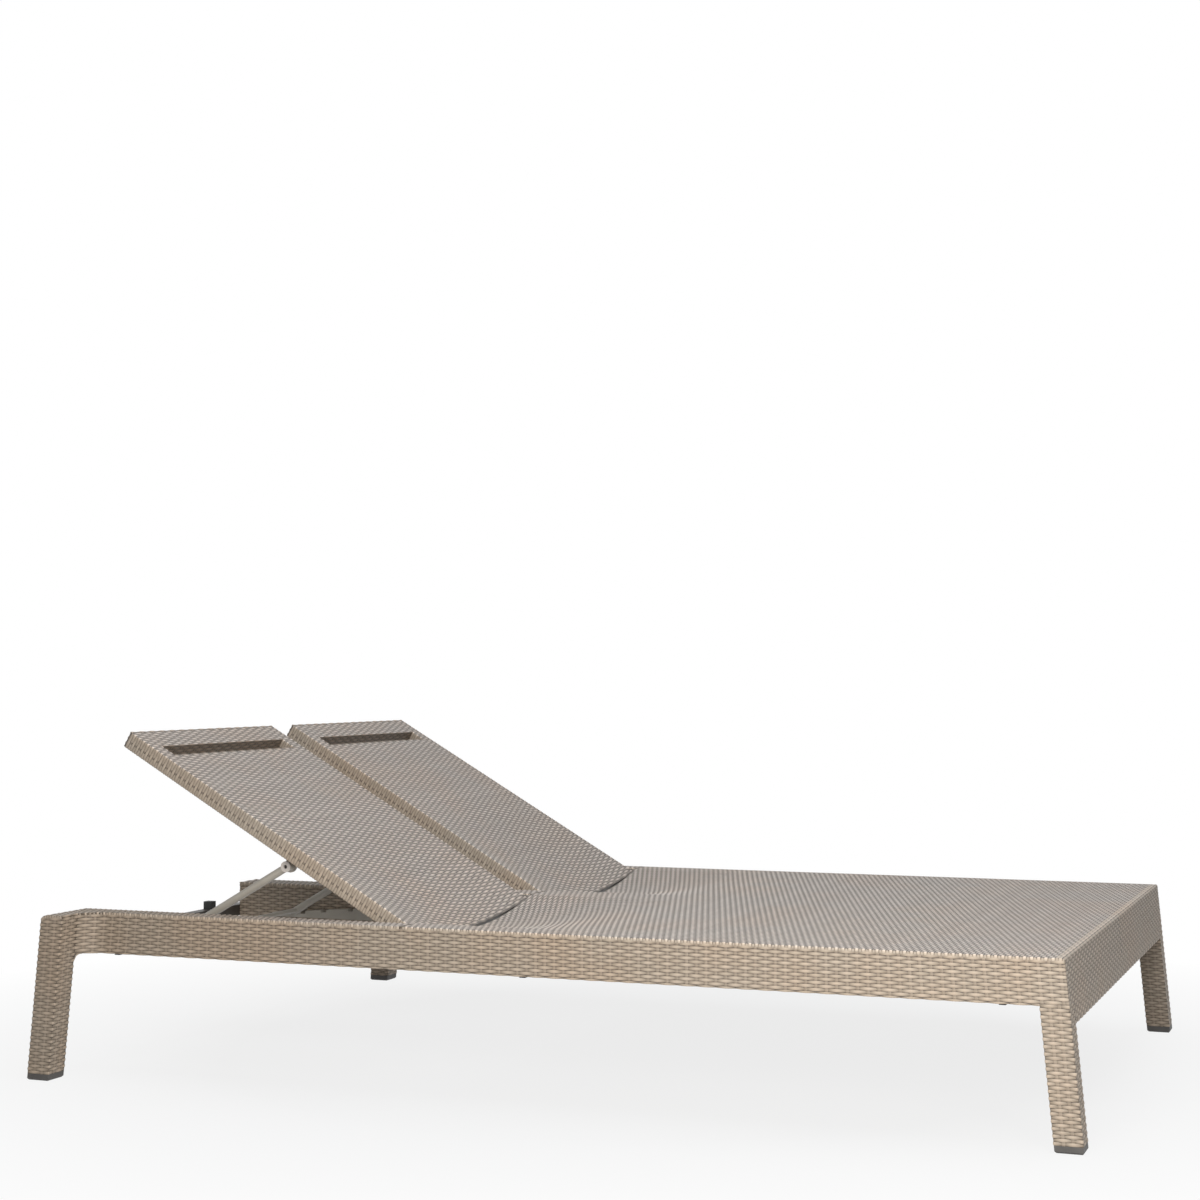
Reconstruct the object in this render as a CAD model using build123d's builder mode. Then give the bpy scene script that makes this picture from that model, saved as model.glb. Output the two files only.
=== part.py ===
import os
from math import cos, pi, radians, sin, sqrt

from build123d import *

os.makedirs("parts", exist_ok=True)

# Shares and angles
half_share = 0.5
splay_share = 0.094
raise_degrees = 30.0
travel_degrees = 60.0

# Deck, rails and legs
deck_top = 330.0
end_reach = 1009.0
rail_height = 82.0
rail_width = 50.0
rail_outer = 681.0
leg_length = 50.0
head_leg_width = 52.0
flare_gap = 37.0
foot_beam_height = 116.0
skin = 4.0
head_round = 12.0
foot_round = 4.0
tube_wall = 3.0
overrun = 2.0
cap_height = 13.0
cap_chamfer = 3.0
spigot_height = 14.0
spigot_clearance = 0.5
flare_radius = 55.0
web_radius = 14.0
outrigger_margin = 4.0
outrigger_height = 54.0

# Centre rail
centre_rail_width = 75.0
centre_setback = 20.0

# Head cross tube, bumpers and stacking pads
head_tube_size = 25.0
head_tube_top = 279.0
bumper_length = 20.0
bumper_width = 20.0
bumper_share = 0.6234
rest_gap = 0.3
pad_length = 12.0
pad_height = 4.0
pad_width = 30.0
pad_head_setback = 113.0
pad_foot_setback = 108.0

# Woven deck
seat_edge = 250.0
sheet = 3.5
bead = 0.5
dish_depth = 38.0
dish_length = 420.0
dish_stations = 9
seat_bar_setback = 4.0
seat_bar_length = 20.0
seat_bar_height = 12.0
bar_gap = 0.05
seat_tube_size = 20.0
seat_tube_wall = 2.0
seat_tube_margin = 30.0
seat_tube_shares = (0.0, 0.369, 0.738)

# Backrests, sizes along the slope from the hinge axis
hinge_setback = 24.4
hinge_drop = 16.5
back_thickness = 33.0
back_foot = 12.4
tip_setback = 1.2
side_gap = 10.5
head_band = 59.0
slot_width = 35.0
slot_side_band = 33.25
back_tube_drop = 12.0
back_tube_height = 17.0
side_tube_width = 25.0
back_tube_wall = 2.5
side_tube_start = 55.6
slot_tube_width = 25.0
mid_tube_width = 20.0
lower_bar_setback = 4.0
hinge_block_setback = 5.0
hinge_block_width = 12.0
hinge_block_drop = 8.0

# Hinge studs
pin_radius = 4.0
running_clearance = 0.05
pin_hole_radius = 6.0
pin_end_gap = 1.0
stud_plate_half = 20.0
stud_plate_top = 14.5
stud_plate_thickness = 4.0

# Prop
prop_length = 298.1
prop_drop = 57.8
strut_setback = 50.25
strut_radius = 8.0
boss_radius = 11.0
rod_radius = 5.0
rod_end_gap = 6.75
strut_overhang = 7.0
lug_thickness = 6.0
lug_radius = 13.0
lug_gap = 0.5
screw_setback = 1.0
nut_radius = 6.5
nut_height = 5.0
plug_thickness = 2.5

# Racks
rack_width = 20.0
rack_rise = 10.0
rack_head_margin = 21.0
rack_foot_margin = 14.0
rack_gap = 0.4
notch_half_width = 6.0
notch_depth = 6.0
notch_degrees = (20.0, 30.0, 40.0, 50.0, 60.0)
rack_stations = 12

# Derived sizes
rail_inner = rail_outer - rail_width
rail_bottom = deck_top - rail_height
head_leg_inner = rail_outer + flare_gap
head_leg_outer = head_leg_inner + head_leg_width
leg_back = end_reach - leg_length
beam_bottom = deck_top - foot_beam_height
centre_half = centre_rail_width * half_share
bay_centre = (rail_inner + centre_half) * half_share
bay_half = (rail_inner - centre_half) * half_share
back_half = bay_half - side_gap
wall_inner = back_half - skin
tube_inner = wall_inner - side_tube_width
slot_half_width = wall_inner - slot_side_band
strut_offset = bay_half - strut_setback
rod_half_length = bay_half - rod_end_gap
bumper_offset = bay_half * bumper_share
hinge_x = -(seat_edge + hinge_setback)
hinge_z = deck_top - hinge_drop
back_head = end_reach - tip_setback + hinge_x
slot_head = back_head - head_band
slot_foot = slot_head - slot_width
centre_rail_head = end_reach - centre_setback
bumper_centre = centre_rail_head + head_tube_size * half_share
sheet_low = bead + sheet
lean_stretch = sqrt(splay_share * splay_share + 1)
sides = {"right": -1, "left": 1}

back_tilt = radians(raise_degrees)
slope_x = (cos(back_tilt), 0, -sin(back_tilt))
slope_z = (sin(back_tilt), 0, cos(back_tilt))
pivot_x = hinge_x - prop_length * cos(back_tilt) + (hinge_drop - prop_drop) * sin(back_tilt)
pivot_z = hinge_z + prop_length * sin(back_tilt) + (hinge_drop - prop_drop) * cos(back_tilt)


def save(built, name):
    built.part.label = name
    export_step(built.part, f"parts/{name}.step")


def back_plane(side):
    return Plane((hinge_x, side * bay_centre, hinge_z), x_dir=slope_x, z_dir=slope_z)


def bay_plane(side):
    return Plane((hinge_x, side * bay_centre, hinge_z), x_dir=(1, 0, 0), z_dir=(0, 0, 1))


def prop_plane(side):
    along = (cos(back_tilt), 0, sin(back_tilt))
    upward = (-sin(back_tilt), 0, cos(back_tilt))
    return Plane((pivot_x, side * bay_centre, pivot_z), x_dir=along, z_dir=upward)


def outline_at(base, y_high):
    origin = base.origin + base.y_dir * y_high
    return Plane(origin, x_dir=base.x_dir, z_dir=base.y_dir * -1)


# A prism whose outline lies in the length and height of its base plane
def prism(base, points, y_one, y_two, mode=Mode.ADD, rounds=()):
    y_low, y_high = sorted((y_one, y_two))
    with BuildSketch(outline_at(base, y_high)) as profile:
        with BuildLine():
            Polyline(*points, close=True)
        make_face()
        for corner, radius in rounds:
            fillet(profile.vertices().sort_by_distance(corner)[0], radius)
    extrude(profile.sketch, amount=y_high - y_low, mode=mode)


# A round bar across the base plane
def cross_round(base, x, z, radius, y_one, y_two, mode=Mode.ADD):
    y_low, y_high = sorted((y_one, y_two))
    with BuildSketch(outline_at(base, y_high)) as profile:
        with Locations((x, z)):
            Circle(radius)
    extrude(profile.sketch, amount=y_high - y_low, mode=mode)


def block(base, x_one, x_two, y_one, y_two, z_one, z_two, mode=Mode.ADD):
    corners = [(x_one, z_one), (x_two, z_one), (x_two, z_two), (x_one, z_two)]
    prism(base, corners, y_one, y_two, mode)


# Length position of a leaning end face at one height
def lean(end, reach, z):
    return end * (reach + splay_share * (deck_top - z))


# Radius is given to the top corner at the end where it is more than zero
def lean_block(end, reach, back, y_one, y_two, z_low, z_high, mode=Mode.ADD, radius=0):
    points = [
        (lean(end, reach, z_low), z_low),
        (lean(end, reach, z_high), z_high),
        (lean(end, back, z_high), z_high),
        (lean(end, back, z_low), z_low),
    ]
    rounds = [(points[1], radius)] if radius > 0 else []
    prism(Plane.XY, points, y_one, y_two, mode, rounds)


# A beam running the whole length between two leaning ends
def long_block(reach, y_one, y_two, z_low, z_high, mode=Mode.ADD, head_radius=0, foot_radius=0):
    points = [
        (lean(-1, reach, z_low), z_low),
        (lean(-1, reach, z_high), z_high),
        (lean(1, reach, z_high), z_high),
        (lean(1, reach, z_low), z_low),
    ]
    wanted = [(points[1], head_radius), (points[2], foot_radius)]
    rounds = [(corner, radius) for corner, radius in wanted if radius > 0]
    prism(Plane.XY, points, y_one, y_two, mode, rounds)


# One cross section of a dished sheet
def dish_section(base, x, half_width, top, sag):
    place = Plane(base.origin + base.x_dir * x, x_dir=base.y_dir, z_dir=base.x_dir)
    low = top - sheet
    pull = sag / half_share
    with BuildSketch(place) as section:
        with BuildLine():
            Bezier((-half_width, top), (0, top - pull), (half_width, top))
            Line((half_width, top), (half_width, low))
            Bezier((half_width, low), (0, low - pull), (-half_width, low))
            Line((-half_width, low), (-half_width, top))
        make_face()
    return section.sketch.faces()[0]


# The sag fades away from the gap as half a wave
def dished_sheet(base, start, step_sign, half_width, top):
    sections = []
    for station in range(dish_stations):
        share = station / (dish_stations - 1)
        sag = dish_depth * cos(share * pi * half_share) ** 2
        x = start + step_sign * dish_length * share
        sections.append(dish_section(base, x, half_width, top, sag))
    loft(sections)


# A bar whose top follows the deepest section of a dished sheet
def dished_bar(base, x_one, x_two, half_width, flat_half, top, height):
    place = Plane(base.origin + base.x_dir * x_one, x_dir=base.y_dir, z_dir=base.x_dir)
    low = top - height
    pull = dish_depth / half_share
    with BuildSketch(place) as section:
        with BuildLine():
            Bezier((-half_width, top), (0, top - pull), (half_width, top))
            Line((half_width, top), (flat_half, top))
            Line((flat_half, top), (flat_half, low))
            Line((flat_half, low), (half_width, low))
            Bezier((half_width, low), (0, low - pull), (-half_width, low))
            Line((-half_width, low), (-flat_half, low))
            Line((-flat_half, low), (-flat_half, top))
            Line((-flat_half, top), (-half_width, top))
        make_face()
    extrude(section.sketch, amount=x_two - x_one)


# Head legs stand outboard of the rails
def outrigger_outline(margin, y_one, y_two, mode):
    middle = (deck_top + rail_bottom) * half_share
    low = middle - outrigger_height * half_share + margin
    high = middle + outrigger_height * half_share - margin
    reach = end_reach - skin - outrigger_margin - margin
    back = leg_back + skin + outrigger_margin + margin
    lean_block(-1, reach, back, y_one, y_two, low, high, mode)


def head_leg(name, side):
    inner = side * head_leg_inner
    outer = side * head_leg_outer
    tube_in = side * (head_leg_inner + skin)
    tube_out = side * (head_leg_outer - skin)
    bore_in = side * (head_leg_inner + skin + tube_wall)
    bore_out = side * (head_leg_outer - skin - tube_wall)
    reach = end_reach - skin
    back = leg_back + skin
    bore_reach = reach - tube_wall
    bore_back = back + tube_wall
    top = deck_top - skin
    tube_round = head_round - skin
    bore_round = tube_round - tube_wall
    with BuildPart() as weave:
        lean_block(-1, end_reach, leg_back, inner, outer, cap_height, deck_top, radius=head_round)
        lean_block(-1, reach, back, tube_in, tube_out, cap_height, top, Mode.SUBTRACT, tube_round)
        outrigger_outline(0, side * (head_leg_inner - overrun), tube_in, Mode.SUBTRACT)
    save(weave, f"{name}_head_leg_weave")
    with BuildPart() as tube:
        lean_block(-1, reach, back, tube_in, tube_out, cap_height, top, radius=tube_round)
        lean_block(-1, bore_reach, bore_back, bore_in, bore_out, cap_height, top, Mode.SUBTRACT, bore_round)
    save(tube, f"{name}_head_leg_tube")
    foot_cap(f"{name}_head_foot_cap", -1, inner, outer)


def foot_leg(name, side):
    inner = side * rail_inner
    outer = side * rail_outer
    tube_in = side * (rail_inner + skin)
    tube_out = side * (rail_outer - skin)
    bore_in = side * (rail_inner + skin + tube_wall)
    bore_out = side * (rail_outer - skin - tube_wall)
    reach = end_reach - skin
    back = leg_back + skin
    bore_reach = reach - tube_wall
    bore_back = back + tube_wall
    top = rail_bottom + skin
    with BuildPart() as weave:
        lean_block(1, end_reach, leg_back, inner, outer, cap_height, rail_bottom)
        lean_block(1, reach, back, tube_in, tube_out, cap_height, rail_bottom, Mode.SUBTRACT)
    save(weave, f"{name}_foot_leg_weave")
    with BuildPart() as tube:
        lean_block(1, reach, back, tube_in, tube_out, cap_height, top)
        lean_block(1, bore_reach, bore_back, bore_in, bore_out, cap_height, top, Mode.SUBTRACT)
    save(tube, f"{name}_foot_leg_tube")
    foot_cap(f"{name}_foot_foot_cap", 1, inner, outer)


# A plug foot with a spigot up inside the leg tube
def foot_cap(label, end, y_one, y_two):
    y_low, y_high = sorted((y_one, y_two))
    inset = skin + tube_wall + spigot_clearance
    spigot_top = cap_height + spigot_height
    with BuildPart() as cap:
        lean_block(end, end_reach, leg_back, y_low, y_high, 0, cap_height)
        chamfer(cap.faces().sort_by(Axis.Z)[0].edges(), cap_chamfer)
        reach = end_reach - inset
        back = leg_back + inset
        lean_block(end, reach, back, y_low + inset, y_high - inset, cap_height, spigot_top)
    save(cap, label)


# A hollow round fills the corner between the flare's underside and the head leg
def leg_web(side):
    y_one = side * (head_leg_inner - web_radius)
    z_low = rail_bottom - web_radius
    with BuildPart() as web:
        lean_block(-1, end_reach, leg_back, y_one, side * head_leg_inner, z_low, rail_bottom)
        with BuildSketch(Plane.YZ.offset(-leg_back)) as hollow:
            with Locations((y_one, z_low)):
                Circle(web_radius)
        extrude(hollow.sketch, amount=-(leg_length + rail_height * half_share), mode=Mode.SUBTRACT)
    return web.part


def rail(name, side):
    inner = side * rail_inner
    outer = side * rail_outer
    tube_in = side * (rail_inner + skin)
    tube_out = side * (rail_outer - skin)
    bore_in = side * (rail_inner + skin + tube_wall)
    bore_out = side * (rail_outer - skin - tube_wall)
    reach = end_reach - skin
    tube_low = rail_bottom + skin
    tube_high = deck_top - skin
    open_top = deck_top + overrun
    seat_room = [
        (-seat_edge, tube_high),
        (-seat_edge, open_top),
        (lean(1, reach, open_top), open_top),
        (lean(1, reach, tube_high), tube_high),
    ]
    leg_top = head_leg_inner
    bottom_shift = splay_share * rail_height
    flare_centre = leg_back - sqrt(flare_radius**2 - (rail_outer + flare_radius - leg_top) ** 2)
    tube_round = head_round - skin
    bore_round = tube_round - tube_wall
    with BuildPart() as outward:
        with BuildSketch(Plane.XY.offset(rail_bottom)) as flare:
            with BuildLine():
                low_end = (-end_reach - bottom_shift, side * rail_outer)
                bend_start = (-flare_centre - bottom_shift, side * rail_outer)
                bend_end = (-leg_back - bottom_shift, side * leg_top)
                far_end = (-end_reach - bottom_shift, side * leg_top)
                Line(low_end, bend_start)
                RadiusArc(bend_start, bend_end, side * flare_radius)
                Line(bend_end, far_end)
                Line(far_end, low_end)
            make_face()
        extrude(flare.sketch, amount=rail_height * lean_stretch, dir=(splay_share, 0, 1))
        flare_edges = outward.faces().sort_by(Axis.Z)[-1].edges().filter_by(Axis.Y)
        fillet(flare_edges.sort_by(Axis.X)[0], head_round)
    with BuildPart() as weave:
        rounds = {"head_radius": head_round, "foot_radius": foot_round}
        long_block(end_reach, inner, outer, rail_bottom, deck_top, **rounds)
        add(outward.part)
        add(leg_web(side))
        long_block(reach, tube_in, tube_out, tube_low, tube_high, Mode.SUBTRACT, head_radius=tube_round)
        prism(Plane.XY, seat_room, side * (rail_inner - overrun), tube_out, Mode.SUBTRACT)
        lean_block(1, reach, leg_back + skin, tube_in, tube_out, rail_bottom, tube_low, Mode.SUBTRACT)
        outrigger_outline(0, tube_out, side * head_leg_inner, Mode.SUBTRACT)
    save(weave, f"{name}_rail_weave")
    with BuildPart() as tube:
        bore_low = tube_low + tube_wall
        bore_high = tube_high - tube_wall
        long_block(reach, tube_in, tube_out, tube_low, tube_high, head_radius=tube_round)
        long_block(reach, bore_in, bore_out, bore_low, bore_high, Mode.SUBTRACT, head_radius=bore_round)
    save(tube, f"{name}_rail_tube")
    with BuildPart() as outrigger:
        outrigger_outline(0, tube_out, side * (head_leg_inner + skin), Mode.ADD)
        outrigger_outline(tube_wall, tube_out, side * (head_leg_inner + skin), Mode.SUBTRACT)
    save(outrigger, f"{name}_head_outrigger")
    with BuildPart() as pads:
        pad_in = side * (rail_inner + (rail_width - pad_width) * half_share)
        pad_out = side * (rail_outer - (rail_width - pad_width) * half_share)
        for place in (pad_head_setback - end_reach, 0, end_reach - pad_foot_setback):
            low = place - pad_length * half_share
            high = place + pad_length * half_share
            block(Plane.XY, low, high, pad_in, pad_out, rail_bottom - pad_height, rail_bottom)
    save(pads, f"{name}_stacking_pads")


def centre_rail():
    tube_half = centre_half - skin
    bore_half = tube_half - tube_wall
    tube_low = rail_bottom + skin
    tube_high = deck_top - skin
    tube_head = centre_rail_head - skin
    with BuildPart() as weave:
        block(Plane.XY, -centre_rail_head, -seat_edge, -centre_half, centre_half, rail_bottom, deck_top)
        block(Plane.XY, -tube_head, -seat_edge, -tube_half, tube_half, tube_low, tube_high, Mode.SUBTRACT)
    save(weave, "centre_rail_weave")
    outside = [
        (-tube_head, tube_low),
        (-tube_head, tube_high),
        (lean(1, leg_back, tube_high), tube_high),
        (lean(1, leg_back, tube_low), tube_low),
    ]
    bore_low = tube_low + tube_wall
    bore_high = tube_high - tube_wall
    with BuildPart() as tube:
        prism(Plane.XY, outside, -tube_half, tube_half)
        block(Plane.XY, -tube_head, end_reach, -bore_half, bore_half, bore_low, bore_high, Mode.SUBTRACT)
    save(tube, "centre_rail_tube")


def foot_beam():
    reach = end_reach - skin
    back = leg_back + skin
    low = beam_bottom + skin
    high = deck_top - skin
    open_top = deck_top + overrun
    bore_low = low + tube_wall
    bore_high = high - tube_wall
    with BuildPart() as weave:
        lean_block(1, end_reach, leg_back, -rail_inner, rail_inner, beam_bottom, deck_top, radius=foot_round)
        lean_block(1, reach, back, -rail_inner, rail_inner, low, high, Mode.SUBTRACT)
        lean_block(1, reach, leg_back - overrun, -rail_inner, rail_inner, high, open_top, Mode.SUBTRACT)
    save(weave, "foot_beam_weave")
    with BuildPart() as tube:
        lean_block(1, reach, back, -rail_inner, rail_inner, low, high)
        bore_reach = reach - tube_wall
        bore_back = back + tube_wall
        lean_block(1, bore_reach, bore_back, -rail_inner, rail_inner, bore_low, bore_high, Mode.SUBTRACT)
    save(tube, "foot_beam_tube")


def head_end():
    head = centre_rail_head + head_tube_size
    low = head_tube_top - head_tube_size
    with BuildPart() as tube:
        block(Plane.XY, -head, -centre_rail_head, -rail_inner, rail_inner, low, head_tube_top)
        bore_head = head - tube_wall
        bore_foot = centre_rail_head + tube_wall
        bore_low = low + tube_wall
        bore_high = head_tube_top - tube_wall
        block(Plane.XY, -bore_head, -bore_foot, -rail_inner, rail_inner, bore_low, bore_high, Mode.SUBTRACT)
    save(tube, "head_cross_tube")
    bumper_top = deck_top - back_thickness - rest_gap
    with BuildPart() as bumpers:
        for side in sides.values():
            for place in (-bumper_offset, bumper_offset):
                middle = side * bay_centre + place
                front = -bumper_centre - bumper_length * half_share
                behind = -bumper_centre + bumper_length * half_share
                edge_one = middle - bumper_width * half_share
                edge_two = middle + bumper_width * half_share
                block(Plane.XY, front, behind, edge_one, edge_two, head_tube_top, bumper_top)
    save(bumpers, "head_bumpers")


# The deck is one woven sheet with a dished bay for each person
def seat():
    top = deck_top - bead
    low = top - sheet
    foot = end_reach - skin
    across = rail_outer - skin
    dish_foot = -seat_edge + dish_length
    with BuildPart() as weave:
        block(Plane.XY, -seat_edge, foot, -across, across, low, top)
        for side in sides.values():
            y_one = side * bay_centre - wall_inner
            y_two = side * bay_centre + wall_inner
            block(Plane.XY, -seat_edge, dish_foot, y_one, y_two, low, top, Mode.SUBTRACT)
        for side in sides.values():
            base = Plane((0, side * bay_centre, 0))
            dished_sheet(base, -seat_edge, 1, wall_inner, top)
    save(weave, "seat_weave")


def seat_supports(name, side):
    base = Plane((0, side * bay_centre, 0))
    low = deck_top - sheet_low
    bar_head = -seat_edge + seat_bar_setback
    bar_foot = bar_head + seat_bar_length
    bar_top = low - bar_gap
    tube_in = side * (centre_half - skin)
    with BuildPart() as bar:
        dished_bar(base, bar_head, bar_foot, wall_inner, bay_half, bar_top, seat_bar_height)
    save(bar, f"{name}_seat_edge_bar")
    first_tube = dish_length - seat_edge + seat_tube_margin
    tube_places = [first_tube + share * (leg_back - first_tube) for share in seat_tube_shares]
    with BuildPart() as tubes:
        for place in tube_places:
            head = place - seat_tube_size * half_share
            foot = place + seat_tube_size * half_share
            block(Plane.XY, head, foot, tube_in, side * rail_inner, low - seat_tube_size, low)
        for place in tube_places:
            head = place - seat_tube_size * half_share + seat_tube_wall
            foot = place + seat_tube_size * half_share - seat_tube_wall
            bore_low = low - seat_tube_size + seat_tube_wall
            bore_high = low - seat_tube_wall
            block(Plane.XY, head, foot, tube_in, side * rail_inner, bore_low, bore_high, Mode.SUBTRACT)
    save(tubes, f"{name}_seat_cross_tubes")


def hinge_studs(name, side):
    base = bay_plane(side)
    plate = bay_half - stud_plate_thickness
    pin_end = wall_inner - hinge_block_width + pin_end_gap
    with BuildPart() as studs:
        for way in sides.values():
            inner = way * plate
            outer = way * bay_half
            block(base, -stud_plate_half, stud_plate_half, inner, outer, -stud_plate_half, stud_plate_top)
            cross_round(base, 0, 0, pin_radius, way * pin_end, way * plate)
    save(studs, f"{name}_hinge_studs")


def rod_path(degrees):
    angle = radians(degrees)
    drop = prop_drop - hinge_drop
    x = hinge_x - prop_length * cos(angle) / half_share - drop * sin(angle)
    z = hinge_z - drop * cos(angle)
    return x, z - rod_radius - rack_gap


# The racks lie just under the path of the prop's cross rod
def racks(name, side):
    base = Plane((0, side * bay_centre, 0))
    flat_x, flat_z = rod_path(0)
    high_x, high_z = rod_path(travel_degrees)
    rack_base = rail_bottom + rack_rise
    rack_head = flat_x - rack_head_margin
    rack_foot = high_x + rack_foot_margin
    outline = [(rack_head, rack_base), (rack_head, flat_z)]
    for station in range(rack_stations):
        degrees = travel_degrees * station / (rack_stations - 1)
        outline.append(rod_path(degrees))
    outline.append((rack_foot, high_z))
    outline.append((rack_foot, rack_base))
    with BuildPart() as bars:
        for way in sides.values():
            prism(base, outline, way * (bay_half - rack_width), way * bay_half)
            for degrees in notch_degrees:
                x, z = rod_path(degrees)
                head = x - notch_half_width
                foot = x + notch_half_width
                inner = way * (bay_half - rack_width - overrun)
                outer = way * bay_half
                block(base, head, foot, inner, outer, z - notch_depth, z + notch_depth, Mode.SUBTRACT)
    save(bars, f"{name}_racks")


# Heights on the backrest are drops below its top face
def level(drop):
    return hinge_drop - drop


def backrest_weave(name, side):
    base = back_plane(side)
    low = level(back_thickness)
    lip_top = level(back_thickness - skin)
    slot_wall_foot = slot_foot - skin
    slot_wall_head = slot_head + skin
    slot_wall_half = slot_half_width + skin
    band_foot = slot_wall_foot - slot_tube_width - skin
    end_inner = back_head - skin
    dish_end = dish_length - back_foot
    with BuildPart() as weave:
        block(base, -dish_end, -end_inner, -wall_inner, wall_inner, level(sheet_low), level(bead))
        for way in sides.values():
            block(base, back_foot, -back_head, way * wall_inner, way * back_half, low, level(0))
            block(base, back_foot, -end_inner, way * slot_wall_half, way * wall_inner, low, lip_top)
        block(base, -end_inner, -back_head, -wall_inner, wall_inner, low, level(0))
        block(base, -slot_wall_head, -end_inner, -slot_wall_half, slot_wall_half, low, lip_top)
        block(base, -band_foot, -slot_wall_foot, -slot_wall_half, slot_wall_half, low, lip_top)
        block(base, -slot_wall_foot, -slot_wall_head, -slot_wall_half, slot_wall_half, low, level(0))
        slot_low = level(back_thickness + overrun)
        slot_high = level(-overrun)
        across = slot_half_width
        block(base, -slot_foot, -slot_head, -across, across, slot_low, slot_high, Mode.SUBTRACT)
        for way in sides.values():
            pin_room = back_half + overrun
            cross_round(base, 0, 0, pin_hole_radius, way * wall_inner, way * pin_room, Mode.SUBTRACT)
        dished_sheet(base, back_foot, -1, wall_inner, level(bead))
    save(weave, f"{name}_backrest_weave")


# A rectangular tube across the backrest between its side tubes
def back_cross_tube(base, x_foot, x_head):
    high = level(back_tube_drop)
    low = level(back_tube_drop + back_tube_height)
    wall = back_tube_wall
    block(base, -x_foot, -x_head, -tube_inner, tube_inner, low, high)
    bore_foot = x_foot + wall
    bore_head = x_head - wall
    block(base, -bore_foot, -bore_head, -tube_inner, tube_inner, low + wall, high - wall, Mode.SUBTRACT)


def backrest_frame(name, side):
    base = back_plane(side)
    high = level(back_tube_drop)
    low = level(back_tube_drop + back_tube_height)
    end_inner = back_head - skin
    wall = back_tube_wall
    with BuildPart() as tubes:
        for way in sides.values():
            block(base, -side_tube_start, -end_inner, way * tube_inner, way * wall_inner, low, high)
            bore_in = way * (tube_inner + wall)
            bore_out = way * (wall_inner - wall)
            bore_low = low + wall
            bore_high = high - wall
            block(base, -side_tube_start, -end_inner, bore_in, bore_out, bore_low, bore_high, Mode.SUBTRACT)
    save(tubes, f"{name}_backrest_side_tubes")
    with BuildPart() as head_tube:
        back_cross_tube(base, slot_head + skin, end_inner)
    save(head_tube, f"{name}_backrest_head_tube")
    with BuildPart() as slot_tube:
        back_cross_tube(base, slot_foot - skin - slot_tube_width, slot_foot - skin)
    save(slot_tube, f"{name}_backrest_slot_tube")
    mid_foot = prop_length - mid_tube_width * half_share
    mid_head = prop_length + mid_tube_width * half_share
    pivot_level = level(prop_drop)
    lug_outer = strut_offset - strut_radius - lug_gap
    lug_inner = lug_outer - lug_thickness
    with BuildPart() as mid_tube:
        back_cross_tube(base, mid_foot, mid_head)
        for way in sides.values():
            lug_foot = prop_length - lug_radius
            lug_head = prop_length + lug_radius
            inner = way * lug_inner
            outer = way * lug_outer
            block(base, -lug_foot, -lug_head, inner, outer, pivot_level, low)
            cross_round(base, -prop_length, pivot_level, lug_radius, inner, outer)
            cross_round(base, -prop_length, pivot_level, pin_radius, inner, outer, Mode.SUBTRACT)
    save(mid_tube, f"{name}_backrest_mid_tube")
    with BuildPart() as screws:
        for way in sides.values():
            nut_end = lug_inner - nut_height
            shank_end = strut_offset + strut_radius - screw_setback
            cross_round(base, -prop_length, pivot_level, pin_radius, way * nut_end, way * shank_end)
            cross_round(base, -prop_length, pivot_level, nut_radius, way * nut_end, way * lug_inner)
    save(screws, f"{name}_pivot_screws")
    block_inner = wall_inner - hinge_block_width
    block_top = level(hinge_block_drop)
    with BuildPart() as blocks:
        for way in sides.values():
            block_foot = back_foot - hinge_block_setback
            block(base, block_foot, -side_tube_start, way * block_inner, way * wall_inner, low, block_top)
            bore = pin_radius + running_clearance
            cross_round(base, 0, 0, bore, way * block_inner, way * wall_inner, Mode.SUBTRACT)
    save(blocks, f"{name}_hinge_blocks")


def backrest_lower_bar(name, side):
    base = back_plane(side)
    start = back_foot - lower_bar_setback - seat_bar_length
    place = Plane(base.origin + base.x_dir * start, x_dir=base.y_dir, z_dir=base.x_dir)
    block_inner = wall_inner - hinge_block_width
    share = block_inner / wall_inner
    pull = dish_depth / half_share
    top = level(sheet_low) - bar_gap
    edge = top - dish_depth * (1 - share * share)
    middle = edge - pull * share * share
    low = edge - seat_bar_height
    with BuildPart() as bar:
        with BuildSketch(place) as section:
            with BuildLine():
                Bezier((-block_inner, edge), (0, middle), (block_inner, edge))
                Line((block_inner, edge), (block_inner, low))
                Bezier((block_inner, low), (0, middle - seat_bar_height), (-block_inner, low))
                Line((-block_inner, low), (-block_inner, edge))
            make_face()
        extrude(section.sketch, amount=seat_bar_length)
    save(bar, f"{name}_backrest_lower_bar")


# Local length runs from the pivot along the struts
def prop(name, side):
    base = prop_plane(side)
    with BuildPart() as bail:
        for way in sides.values():
            start = base.origin + base.y_dir * (way * strut_offset)
            with BuildSketch(Plane(start, x_dir=base.y_dir, z_dir=base.x_dir * -1)) as tube:
                Circle(strut_radius)
            extrude(tube.sketch, amount=prop_length + strut_overhang)
            boss_in = way * (strut_offset - strut_radius)
            boss_out = way * (strut_offset + strut_radius)
            cross_round(base, 0, 0, boss_radius, boss_in, boss_out)
        cross_round(base, -prop_length, 0, rod_radius, -rod_half_length, rod_half_length)
        for way in sides.values():
            boss_in = way * (strut_offset - strut_radius)
            boss_out = way * (strut_offset + strut_radius)
            cross_round(base, 0, 0, pin_radius + running_clearance, boss_in, boss_out, Mode.SUBTRACT)
    save(bail, f"{name}_prop_bail")
    with BuildPart() as plugs:
        for way in sides.values():
            inner = way * (strut_offset + strut_radius)
            outer = way * (strut_offset + strut_radius + plug_thickness)
            cross_round(base, 0, 0, boss_radius, inner, outer)
            cross_round(base, 0, 0, pin_radius, inner, outer, Mode.SUBTRACT)
    save(plugs, f"{name}_prop_end_plugs")


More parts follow.
